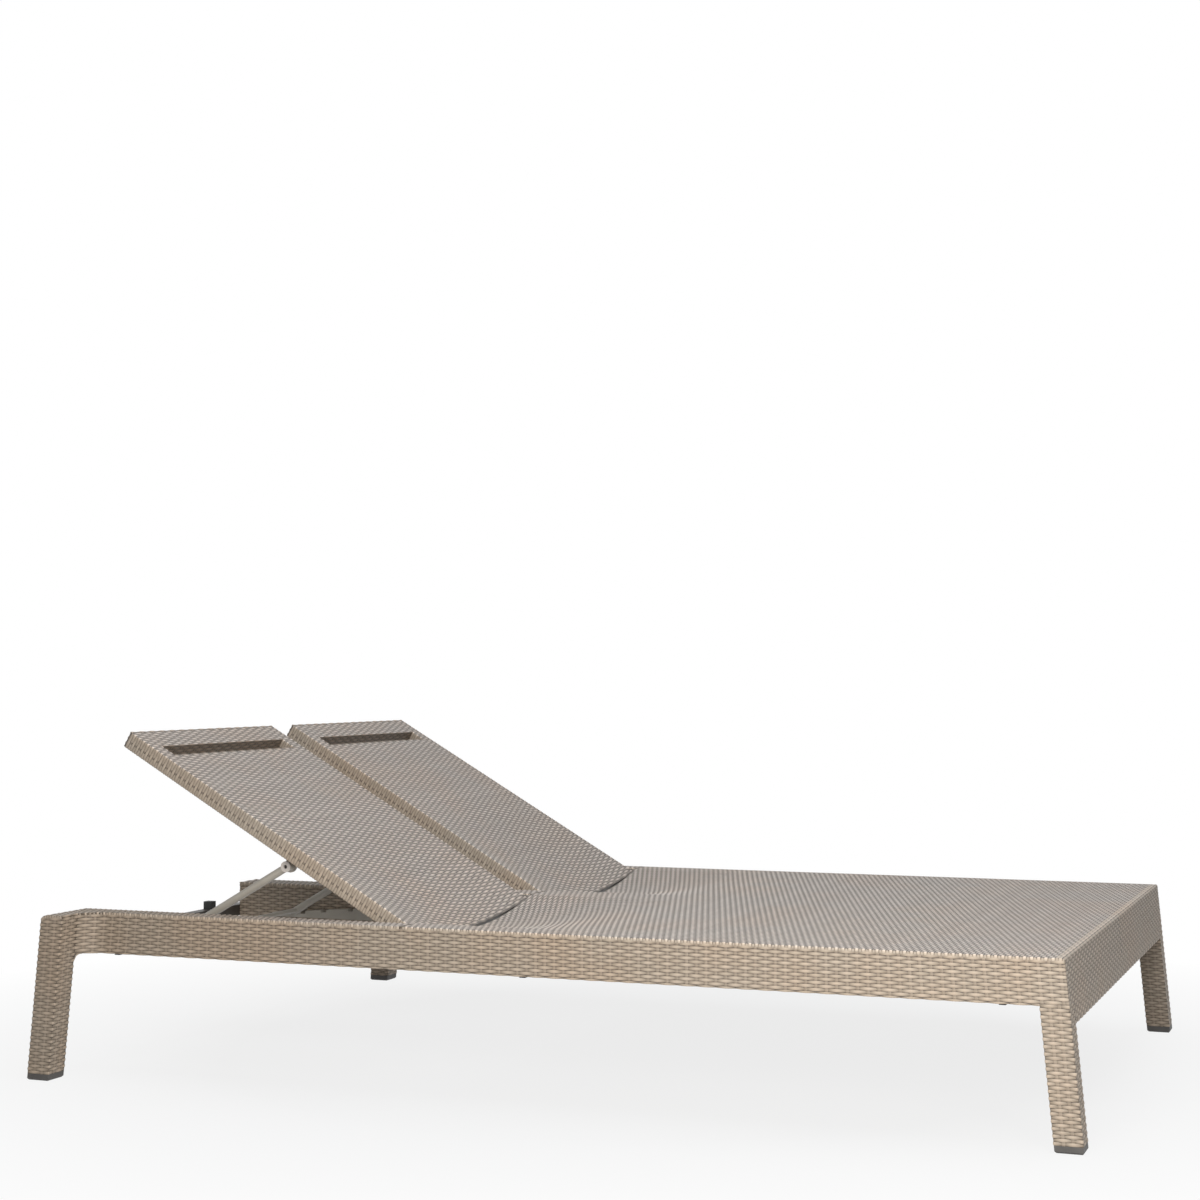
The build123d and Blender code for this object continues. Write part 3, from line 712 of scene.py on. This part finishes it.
materials = {}
for name in ("deck", "rail", "slot"):
    materials[f"{name}Strand"] = strandMaterial(f"{name}Strand", strandLook[name])
for name, (look, turned) in backings.items():
    dark = strandLook[look]["Dark"]
    values = {"Turned": turned}
    values["Deep"] = tuple(c * backingLook["paintedShadeDeepest"] for c in dark)
    values["Pale"] = tuple(c * backingLook["paintedShadeLightest"] for c in dark)
    materials[name] = surfaceMaterial(
        name, plainWeave, values, backingLook["bumps"], roughness=backingLook["roughness"]
    )
for name, values in paints.items():
    materials[name] = surfaceMaterial(name, paintSurface, values, (0.12, 0.0001))
for name, values in plastics.items():
    materials[name] = surfaceMaterial(name, plasticSurface, values, (plasticBumps[name], 0.0002))
for name, values in steels.items():
    materials[name] = surfaceMaterial(name, steelSurface, values, (0.2, 0.0001), metallic=1.0)
print("materials made", flush=True)


def dress(material, *names):
    for name in names:
        mesh = nodes[name].data
        if not mesh.materials:
            mesh.materials.append(materials[material])
        for slot in nodes[name].material_slots:
            slot.material = materials[material]


def soften(width, *names):
    for name in names:
        modifier = nodes[name].modifiers.new("soften", "BEVEL")
        modifier.width = width
        modifier.segments = 2
        modifier.limit_method = "ANGLE"
        modifier.angle_limit = math.radians(40.0)


finish = {
    "deckBacking": ("seat_weave",),
    "crossBacking": ("foot_beam_weave",),
    "railBacking": ("centre_rail_weave",),
    "darkPaint": ("centre_rail_tube", "foot_beam_tube", "head_cross_tube"),
    "blackRubber": ("head_bumpers",),
}
sideFinish = {
    "deckBacking": ("backrest_weave",),
    "railBacking": ("rail_weave", "head_leg_weave", "foot_leg_weave"),
    "darkPaint": (
        "head_leg_tube",
        "foot_leg_tube",
        "rail_tube",
        "head_outrigger",
        "seat_edge_bar",
        "seat_cross_tubes",
        "backrest_side_tubes",
        "backrest_head_tube",
        "backrest_slot_tube",
        "backrest_lower_bar",
        "hinge_blocks",
    ),
    "greyPaint": ("backrest_mid_tube", "prop_bail", "racks"),
    "capPlastic": ("head_foot_cap", "foot_foot_cap"),
    "blackRubber": ("stacking_pads",),
    "palePlastic": ("prop_end_plugs",),
    "brushedSteel": ("hinge_studs",),
    "blackSteel": ("pivot_screws",),
}
sideSoftened = ("head_foot_cap", "foot_foot_cap", "racks", "prop_end_plugs")
for material, names in finish.items():
    dress(material, *names)
for side in sides:
    for material, names in sideFinish.items():
        dress(material, *(f"{side}_{name}" for name in names))
    soften(0.0012, *(f"{side}_{name}" for name in sideSoftened))
soften(0.0015, "head_bumpers", "head_cross_tube")
print("frame dressed", flush=True)


# Deck: rows across the lounger, sagging in each person's bay, turned over the edges
deck = {
    "stakes": 73,
    "rows": 206,
    "parts": {"head": (1, 70), "middle": (70, 138), "foot": (138, 203)},
    "hem": 3.4,
    "footRound": 4.0,
    "footTurn": 10.0,
    "footShare": 0.63,
}


def endShift(x, z):
    share = smooth(np.abs(x), shape["splayFrom"], shape["splayTo"]) * np.sign(x)
    return share * shape["splay"] * (top - z)


turnDown = weave["turnDown"]
acrossLine = [(-railOut, top - turnDown), (-railOut, top)]
acrossLine += [(railOut, top), (railOut, top - turnDown)]
across, acrossStops = tracer(acrossLine, inward=True)
footRound = deck["footRound"]
alongLine = [(-seatEdge, top - deck["hem"]), (-seatEdge, top)]
alongLine += arc((reach - footRound, top - footRound), footRound, 90.0, 0.0, 4)
alongLine += [(reach + 1.0, top - deck["footTurn"])]
along, alongStops = tracer(alongLine, inward=True)


def deckPlace(u, v, h):
    y, zSide, outY, upSide = across(u)
    x, zEnd, outX, upEnd = along(v)
    level = zSide > top - 0.5
    settled = weave["settle"] * (level & (zEnd > top - 0.5))
    sag = dishSag(x + seatEdge, np.abs(y) - shape["bayCentre"]) * level
    z = zSide + zEnd - top - settled - sag
    up = np.minimum(upSide, upEnd)
    return np.stack([x + outX * h, y + outY * h, z + up * h], axis=-1) * mm


deckStake = 2.0 * railOut / deck["stakes"]
deckRows = np.linspace(alongStops[1], alongStops[-2] - footRound * deck["footShare"], deck["rows"])
deckRun = {"stake": deckStake, "start": turnDown}
for label, (first, last) in deck["parts"].items():
    store = newStore("deck")
    span = (acrossStops[1], acrossStops[2])
    strands(store, deckPlace, acrossStops, deckRows[first:last], parity=first, span=span, **deckRun)
    if label == "foot":
        aside = (1.0e6, -1.0e6)  # the last rows lie flat in the side colour
        strands(store, deckPlace, acrossStops, deckRows[last:], parity=last, span=aside, **deckRun)
    strandObject(f"deck_strands_{label}", store, "deckStrand", "frame")


# Rails: rows along the lounger, round the foot corner to the middle of the foot panel
rail = {
    "flareRadius": 55.0,
    "webRadius": 14.0,
    "topEnd": 4.0,
    "paleFrom": -800.0,
    "paleTo": -450.0,
    "underIn": 3.0,
    "underOut": 8.0,
    "underGap": 2.0,
}


def headSink(z):
    radius = shape["headRound"]
    over = np.clip(z - (top - radius), 0.0, radius)
    return radius - np.sqrt(radius**2 - over * over)


flareR = rail["flareRadius"]
flareY = railOut + flareR
flareX = -legBack + math.sqrt(flareR**2 - (flareY - legIn) ** 2)
flareLast = math.degrees(math.acos((flareX + legBack) / flareR))
flareCurve = arc((flareX, flareY), flareR, 180.0 + flareLast, 270.0, 8)
outerPlan, outerStops = tracer(flareCurve + [(reach, railOut), (reach, 0.0)], inward=True)
footCorner = outerStops[-2]
panelEnd = outerStops[-1]
wallStops = [0.0, footCorner, panelEnd]
outerStake = panelEnd / round(panelEnd / weave["stake"])
# Past the foot corner, round onto the foot panel, the dips take a deeper painted shade
wallRun = {"stake": outerStake, "shadeFrom": footCorner + 1.0}
wallRows = edgeRows(low, top)[1:-1]


def outerPlace(side):
    def place(u, v, h):
        x, y, outX, outY = outerPlan(u)
        x = x + endShift(x, v)
        return np.stack([x + outX * h, side * (y + outY * h), v], axis=-1) * mm

    return place


# A row bent over a long edge: level is out of the wall, upright is out of the flat
def edgePlace(side, plan, z, up, web=0.0):
    half = weave["cornerReach"] * 0.5

    def place(u, v, h):
        x, y, outX, outY = plan(u)
        down = np.maximum(-v, 0.0)
        rise = 1.0 - weave["edgeHeight"]
        mid = weave["edgeHeight"] + rise * np.clip(np.abs(v) / weave["cornerReach"], 0.0, 1.0)
        level = np.where(v > half, 0.0, h * mid) - np.maximum(v, 0.0)
        upright = np.where(v < -half, 0.0, h * mid)
        over = np.clip(y - (legIn - web), 0.0, web)
        sink = web - np.sqrt(web * web - over * over)
        zHere = z - sink - up * down + up * upright
        x = x + endShift(x, zHere)
        return np.stack([x + outX * level, side * (y + outY * level), zHere], axis=-1) * mm

    return place


def innerPlace(side):
    def place(u, v, h):
        x = np.maximum(u + endShift(u, v), -reach - lean(v) + headSink(v))
        return np.stack([x, np.full_like(u, side * railIn) - side * h, v], axis=-1) * mm

    return place


def underPlace(side):
    def place(u, v, h):
        x = u + endShift(u, np.full_like(u, low))
        return np.stack([x, side * v, np.full_like(u, low) - h], axis=-1) * mm

    return place


for name, side in sides.items():
    store = newStore()
    strands(store, outerPlace(side), wallStops, wallRows, parity=1, **wallRun)
    webbed = edgePlace(side, outerPlan, low, -1.0, rail["webRadius"])
    underRun = (0.0, footCorner - (reach - legBack))
    strands(store, webbed, underRun, [0.0], stake=outerStake, profile="corner")
    innerLow = tracer([(legBack, railIn), (-reach, railIn)], inward=True)[0]
    innerEdge = edgePlace(side, innerLow, low, -1.0)
    strands(store, innerEdge, (0.0, reach + legBack), [0.0], profile="corner")
    strands(store, innerPlace(side), (-reach, -seatEdge), wallRows, parity=1)
    strands(store, innerPlace(side), (-seatEdge, legBack), wallRows, parity=1, profile="hidden")
    underRows = edgeRows(railIn, railOut)[1:-1]
    strands(store, underPlace(side), (-reach, legBack), underRows, parity=1, profile="hidden")
    strandObject(f"{name}_rail_strands", store, "railStrand", "frame")


# Rows across the top of a rail, turned down at both its edges and over its head end
def crossPlace(side, path, yIn, yOut):
    line = [(yIn, -turnDown), (yIn, 0.0), (yOut, 0.0), (yOut, -turnDown)]
    over, stops = tracer(line, inward=True)

    def place(u, v, h):
        x, z, outX, outZ = path(v)
        y, sink, outY, up = over(u)
        height = sink + up * h
        x = x + outX * height + endShift(x, z)
        return np.stack([x, side * (y + outY * h), z + outZ * height], axis=-1) * mm

    return place, stops


def flareEdge(x):
    if x > flareX:
        return railOut
    if x > -legBack:
        return flareY - math.sqrt(flareR**2 - (flareX - x) ** 2)
    return legOut


# Towards the head end the rail tops take the side colour, the painted shaded copy, in place of the
# deck colour
def topTint(x):
    return float(1.0 - smooth(x, rail["paleFrom"], rail["paleTo"]))


headR = shape["headRound"]
headArc = arc((-reach + headR, top - headR), headR, 90.0, 180.0, 6)
headPath, headStops = tracer([(-seatEdge, top)] + headArc + [(-reach, low)])
topRows = np.arange(weave["pitch"], headStops[-1] - rail["topEnd"], weave["pitch"])
for name, side in sides.items():
    store = newStore("deck")
    for index, run in enumerate(topRows):
        x, z = (float(value) for value in headPath(run)[:2])
        outer = legIn if z < top - headR else flareEdge(x)
        place, stops = crossPlace(side, headPath, railIn, outer)
        if outer == legIn:
            stops = stops[:3]
        look = {"span": (stops[1], stops[2]), "tint": topTint(x), **deckRun}
        strands(store, place, stops, [run], parity=index + 1, **look)
    strandObject(f"{name}_top_strands", store, "deckStrand", "frame")
    store = newStore()
    legTop = edgePlace(side, tracer([(-legBack, legIn), (-legBack, legOut)])[0], top, 1.0)
    strands(store, legTop, (0.0, legOut - legIn), [0.0], stake=deckStake, profile="corner")
    lowEdge = edgePlace(side, tracer([(-reach, legIn), (-reach, railIn)])[0], low, -1.0)
    strands(store, lowEdge, (0.0, legIn - railIn), [0.0], profile="corner")
    underRows = np.arange(railOut + rail["underIn"], legIn - rail["underOut"], weave["pitch"])
    for index, y in enumerate(underRows):
        begin = flareX - math.sqrt(flareR**2 - (flareY - y) ** 2)
        run = (-reach, begin - rail["underGap"])
        strands(store, underPlace(side), run, [y], parity=index, profile="hidden")
    strandObject(f"{name}_end_strands", store, "railStrand", "frame")


# Legs: each row is one hoop round the leg
leg = {"capHeight": 13.0, "capGap": 3.2, "rows": 38, "stakes": 12.0}


def legPlace(end, side, yIn, yOut):
    middle = (reach + legBack) * 0.5
    half = (reach - legBack) * 0.5
    wide = (yOut - yIn) * 0.5
    hoop, stops = tracer([(half, -wide), (half, wide), (-half, wide), (-half, -wide)], closed=True)

    def place(u, v, h):
        x, y, outX, outY = hoop(u)
        x = middle + lean(v) + x + outX * h
        x = np.minimum(x, reach + lean(v) - headSink(v) * (end < 0.0) + h)
        return np.stack([end * x, side * ((yIn + yOut) * 0.5 + y + outY * h), v], axis=-1) * mm

    return place, stops


legRows = np.linspace(leg["capHeight"] + leg["capGap"], low, leg["rows"])
for name, side in sides.items():
    for label, end, yIn, yOut in (("head", -1.0, legIn, legOut), ("foot", 1.0, railIn, railOut)):
        store = newStore()
        place, stops = legPlace(end, side, yIn, yOut)
        rows = np.concatenate([legRows, wallRows]) if end < 0.0 else legRows
        strands(store, place, stops, rows, stake=stops[-1] / leg["stakes"])
        strandObject(f"{name}_{label}_leg_strands", store, "railStrand", "frame")

# Foot panel below the rails' height, its back and its underside
beam = {"bottom": 214.0, "stakes": 68}
beamLow = beam["bottom"]
beamRun = (-railIn, railIn)


def footPanel(u, v, h):
    return np.stack([reach + lean(v) + h, u, v], axis=-1) * mm


def footBack(u, v, h):
    return np.stack([legBack + lean(v) - h, u, v], axis=-1) * mm


def footUnder(u, v, h):
    return np.stack([v + lean(beamLow), u, np.full_like(u, beamLow) - h], axis=-1) * mm


store = newStore()
panelRows = edgeRows(beamLow, low)[1:]
# The whole foot panel takes the deeper painted shade in its dips
panelRun = {"stake": 2.0 * railIn / beam["stakes"], "start": -railIn, "shadeFrom": -railIn}
panelParity = (round(panelEnd / outerStake) + 1 - len(panelRows) - beam["stakes"] // 2) % 2
strands(store, footPanel, beamRun, panelRows, parity=panelParity, **panelRun)
strands(store, footBack, beamRun, edgeRows(beamLow, top)[1:-1], parity=1, profile="hidden")
strands(store, footUnder, beamRun, edgeRows(legBack, reach)[1:-1], parity=1, profile="hidden")
for x, inward in ((reach, True), (legBack, False)):
    lowEdge = edgePlace(1.0, tracer([(x, railIn), (x, -railIn)], inward=inward)[0], beamLow, -1.0)
    strands(store, lowEdge, (0.0, 2.0 * railIn), [0.0], profile="corner")
strandObject("foot_beam_strands", store, "railStrand", "frame")

# Centre rail: its two sides and head end, its underside and the rows across its top
centre = {"half": 37.5, "head": 989.0, "underGap": 3.0, "endDrop": 20.0}
centreHalf = centre["half"]
centreHead = -centre["head"]
centreLine = [(-seatEdge, -centreHalf), (centreHead, -centreHalf)]
centreLine += [(centreHead, centreHalf), (-seatEdge, centreHalf)]
centrePlan, centreStops = tracer(centreLine, inward=True)


def centrePlace(u, v, h):
    x, y, outX, outY = centrePlan(u)
    return np.stack([x + outX * h, y + outY * h, v], axis=-1) * mm


def centreEdge(u, v, h):
    points = edgePlace(1.0, centrePlan, low, -1.0)(u, v, h)
    points[..., 0] -= endShift(points[..., 0] / mm, points[..., 2] / mm) * mm
    return points


def centreUnder(u, v, h):
    return np.stack([u, v, np.full_like(u, low) - h], axis=-1) * mm


store = newStore()
strands(store, centrePlace, centreStops, wallRows, parity=1)
strands(store, centreEdge, centreStops, [0.0], profile="corner")
underRun = (centreHead + centre["underGap"], -seatEdge)
underRows = edgeRows(-centreHalf, centreHalf)[1:-1]
strands(store, centreUnder, underRun, underRows, parity=1, profile="hidden")
strandObject("centre_rail_strands", store, "railStrand", "frame")

store = newStore("deck")
endLine = [(-seatEdge, top), (centreHead, top), (centreHead, top - centre["endDrop"])]
crossing, crossStops = crossPlace(1.0, tracer(endLine)[0], -centreHalf, centreHalf)
crossRows = edgeRows(0.0, -seatEdge - centreHead)[1:]
for index, run in enumerate(crossRows):
    look = {"span": (crossStops[1], crossStops[2]), "tint": topTint(-seatEdge - run), **deckRun}
    profile = "corner" if run == crossRows[-1] else "face"
    strands(store, crossing, crossStops, [run], parity=index + 1, profile=profile, **look)
strandObject("centre_top_strands", store, "deckStrand", "frame")
print("frame weave made", flush=True)


# Backrests: local x towards the foot end along the slope, z out of the top face
back = {
    "raise": math.radians(30.0),
    "hingeX": -274.4,
    "hingeZ": 313.5,
    "top": 16.5,
    "thick": 33.0,
    "sheetLow": 4.0,
    "foot": 12.4,
    "head": -733.4,
    "half": 286.25,
    "lip": 254.5,
    "settleIn": 1.7,
    "slotFoot": -639.4,
    "slotHead": -674.4,
    "slotHalf": 249.0,
    "slotBand": 2.0,
    "footBand": 2.0,
    "stakes": 30,
    "slotStakes": 26,
    "tipRows": 6,
    "tipGap": 3.05,
    "lap": 20.0,
    "underHead": -606.0,
    "underFoot": -4.0,
    "underHalf": 252.0,
}
backTop = back["top"]
backLow = back["top"] - back["thick"]
backHalf = back["half"]
backHead = back["head"]
backFoot = back["foot"]
slotFoot = back["slotFoot"]
slotHead = back["slotHead"]
slotHalf = back["slotHalf"]
lip = back["lip"]
lap = back["lap"]
backStake = 2.0 * backHalf / back["stakes"]


def backPoint(side, x, y, z):
    c = math.cos(back["raise"])
    s = math.sin(back["raise"])
    worldX = back["hingeX"] + x * c + z * s
    worldZ = back["hingeZ"] - x * s + z * c
    return np.stack([worldX, side * shape["bayCentre"] + y, worldZ], axis=-1)


# Rows across the backrest, turned down its sides and under them
def wrapPlace(side, corners, inward):
    path, stops = tracer(corners, inward=inward)

    def place(u, v, h):
        y, z, outY, outZ = path(u)
        sag = np.where(z > backTop - 1.0, dishSag(backFoot - v, y), 0.0)
        level = (z > backTop - 0.5) & (np.abs(y) < backHalf - back["settleIn"])
        settled = np.where(level, weave["settle"], 0.0)
        return backPoint(side, v, y + outY * h, z + outZ * h - sag - settled) * mm

    return place, stops


# Rows along the width, down an outline in the side view
def linePlace(side, corners, inward=False):
    path, stops = tracer(corners, inward=inward)

    def place(u, v, h):
        x, z, outX, outZ = path(v)
        return backPoint(side, x + outX * h, u, z + outZ * h) * mm

    return place, stops


def backUnder(side):
    def place(u, v, h):
        z = backTop - back["sheetLow"] - dishSag(backFoot - v, u) - h
        return backPoint(side, v, u, z) * mm

    return place


backPitch = (backFoot - backHead) / round((backFoot - backHead) / weave["pitch"])
backRows = backHead + backPitch * np.arange(round((backFoot - backHead) / backPitch) + 1)
bandHead = slotHead - back["slotBand"]
bandFoot = slotFoot + back["slotBand"]
upper = backRows[(backRows > backHead + 1.0) & (backRows < bandHead)]
middle = backRows[(backRows >= bandHead) & (backRows <= bandFoot)]
lower = backRows[(backRows > bandFoot) & (backRows < backFoot - back["footBand"])]
wrapLeft = [(-lip, backLow), (-backHalf, backLow), (-backHalf, backTop)]
wrapRight = [(backHalf, backTop), (backHalf, backLow), (lip, backLow)]
tipLine = [(backHead + lap, backTop), (backHead, backTop)]
tipLine += [(backHead, backLow), (backHead + lap, backLow)]
for name, side in sides.items():
    body = f"{name}_backrest"
    store = newStore("deck")
    place, stops = wrapPlace(side, wrapLeft + wrapRight, True)
    run = {"stake": backStake, "start": stops[2], "span": (stops[2], stops[3])}
    strands(store, place, stops, upper, parity=1, **run)
    strands(store, place, stops, lower, parity=len(upper) + 1 + len(middle), **run)
    for way in (-1.0, 1.0):
        short = [(way * lip, backLow), (way * backHalf, backLow), (way * backHalf, backTop)]
        short += [(way * slotHalf, backTop), (way * slotHalf, backLow)]
        place, stops = wrapPlace(side, short, way < 0.0)
        run = {"stake": backStake, "start": stops[2], "span": (stops[2], stops[3])}
        strands(store, place, stops, middle, parity=len(upper) + 1, **run)
    strandObject(f"{name}_backrest_strands", store, "deckStrand", body)

    store = newStore("deck")
    tip, tipStops = linePlace(side, tipLine)
    tipRows = np.linspace(tipStops[1], tipStops[2] - back["tipGap"], back["tipRows"])
    ends = (-backHalf, backHalf)
    strands(store, tip, ends, tipRows[:1], stake=backStake, start=-backHalf, profile="corner")
    strands(store, tip, ends, tipRows[1:], parity=1, stake=backStake, start=-backHalf)
    strandObject(f"{name}_backrest_end_strands", store, "railStrand", body)

    # The slot's walls use the darkened slot colours, painted shadow
    store = newStore()
    ends = (-slotHalf, slotHalf)
    run = {"stake": 2.0 * slotHalf / back["slotStakes"], "start": -slotHalf}
    for x, inward, over in ((slotHead, True, -lap), (slotFoot, False, lap)):
        edge = [(x + over, backTop), (x, backTop), (x, backLow)]
        place, stops = linePlace(side, edge, inward)
        rows = edgeRows(stops[1], stops[2])
        strands(store, place, ends, rows[:1], profile="corner", **run)
        strands(store, place, ends, rows[1:-1], parity=1, **run)
    strandObject(f"{name}_slot_strands", store, "slotStrand", body)

    store = newStore("deck")
    ends = (-back["underHalf"], back["underHalf"])
    rows = evenRows(back["underHead"], back["underFoot"])
    strands(store, backUnder(side), ends, rows, profile="hidden")
    strandObject(f"{name}_backrest_under_strands", store, "deckStrand", body)
print("backrest weave made", flush=True)

# Floor, light and camera
floorLook = {
    "size": 60.0,
    "tone": 0.5,
    "roughness": 0.9,
    "specular": 0.1,
    "glow": (0.9, 2.1, 0.82, 1.0),  # two distances from the middle, and how white each is
}
worldLook = {"strength": 0.17, "colour": (0.97, 0.985, 1.0)}
lamps = {
    "topLight": {
        "place": (0.5, 0.0, 3.4),
        "target": (0.1, 0.0, 0.3),
        "size": (3.5, 3.0),
        "power": 73.0,
        "colour": (0.95, 0.98, 1.04),
    },
    "nearLight": {
        "place": (0.85, -2.75, 1.05),
        "target": (0.2, -0.5, 0.25),
        "size": (1.1, 0.8),
        "power": 41.0,
        "colour": (1.0, 0.98, 0.94),
    },
    "footLight": {
        "place": (1.75, -1.9, 0.95),
        "target": (0.95, -0.3, 0.25),
        "size": (0.5, 0.5),
        "power": 8.5,
        "colour": (1.0, 0.985, 0.96),
    },
}
eye = {"place": (1.5792, -4.3301, 0.8132), "yaw": 21.24, "pitch": 2.03, "lens": 63.23}


# White where the camera, a reflection or a view through glass meets it
def seenWhite(tree):
    path = tree.nodes.new("ShaderNodeLightPath")
    seen = socketMath(tree, "MAXIMUM", path.outputs["Is Camera Ray"], path.outputs["Is Glossy Ray"])
    return socketMath(tree, "MAXIMUM", seen, path.outputs["Is Transmission Ray"])


def emission(tree, kind, colour, strength):
    node = tree.nodes.new(kind)
    setSocket(tree, node.inputs["Color"], colour)
    setSocket(tree, node.inputs["Strength"], strength)
    return node.outputs[0]


def mixShader(tree, factor, first, second, output):
    node = tree.nodes.new("ShaderNodeMixShader")
    for socket, source in zip(node.inputs, (factor, first, second)):
        tree.links.new(source, socket)
    tree.links.new(node.outputs[0], output.inputs[0])


bpy.ops.mesh.primitive_plane_add(size=floorLook["size"], location=(0.0, 0.0, 0.0))
floor = bpy.context.object
floor.name = "floor"
floorMaterial, floorTree, floorShader = newMaterial("floorPale")
setSocket(floorTree, floorShader.inputs["Base Color"], (floorLook["tone"],) * 3)
floorShader.inputs["Roughness"].default_value = floorLook["roughness"]
floorShader.inputs["Specular IOR Level"].default_value = floorLook["specular"]
floor.data.materials.append(floorMaterial)
distance = floorTree.nodes.new("ShaderNodeVectorMath")
distance.operation = "LENGTH"
floorTree.links.new(floorTree.nodes.new("ShaderNodeTexCoord").outputs["Object"], distance.inputs[0])
glow = ramp(floorTree, distance.outputs["Value"], *floorLook["glow"])
shown = socketMath(floorTree, "MULTIPLY", glow, seenWhite(floorTree))
white = emission(floorTree, "ShaderNodeEmission", (1.0, 1.0, 1.0), 1.0)
floorOut = next(node for node in floorTree.nodes if node.type == "OUTPUT_MATERIAL")
mixShader(floorTree, shown, floorShader.outputs[0], white, floorOut)

for name, look in lamps.items():
    data = bpy.data.lights.new(name, "AREA")
    data.shape = "RECTANGLE"
    data.size, data.size_y = look["size"]
    data.energy = look["power"]
    data.color = look["colour"]
    lamp = bpy.data.objects.new(name, data)
    scene.collection.objects.link(lamp)
    lamp.location = look["place"]
    lamp.visible_camera = False
    lamp.rotation_mode = "QUATERNION"
    lamp.rotation_quaternion = (Vector(look["target"]) - lamp.location).to_track_quat("-Z", "Y")

world = bpy.data.worlds.new("studio")
scene.world = world
world.use_nodes = True
worldTree = world.node_tree
worldTree.nodes.clear()
worldOut = worldTree.nodes.new("ShaderNodeOutputWorld")
soft = emission(worldTree, "ShaderNodeBackground", worldLook["colour"], worldLook["strength"])
white = emission(worldTree, "ShaderNodeBackground", (1.0, 1.0, 1.0), 1.0)
mixShader(worldTree, seenWhite(worldTree), soft, white, worldOut)

yaw = math.radians(eye["yaw"])
pitch = math.radians(eye["pitch"])
level = math.cos(pitch)
forward = Vector((-math.sin(yaw) * level, math.cos(yaw) * level, math.sin(pitch)))
right = Vector((math.cos(yaw), math.sin(yaw), 0.0))
turned = Matrix((right, right.cross(forward), -forward)).transposed()
camData = bpy.data.cameras.new("camera")
camData.sensor_width = 36.0
camData.lens = eye["lens"]
camera = bpy.data.objects.new("camera", camData)
scene.collection.objects.link(camera)
camera.rotation_mode = "QUATERNION"
camera.location = eye["place"]
camera.rotation_quaternion = turned.to_quaternion()
scene.camera = camera
scene.view_settings.view_transform = "Standard"
print("light and camera set", flush=True)
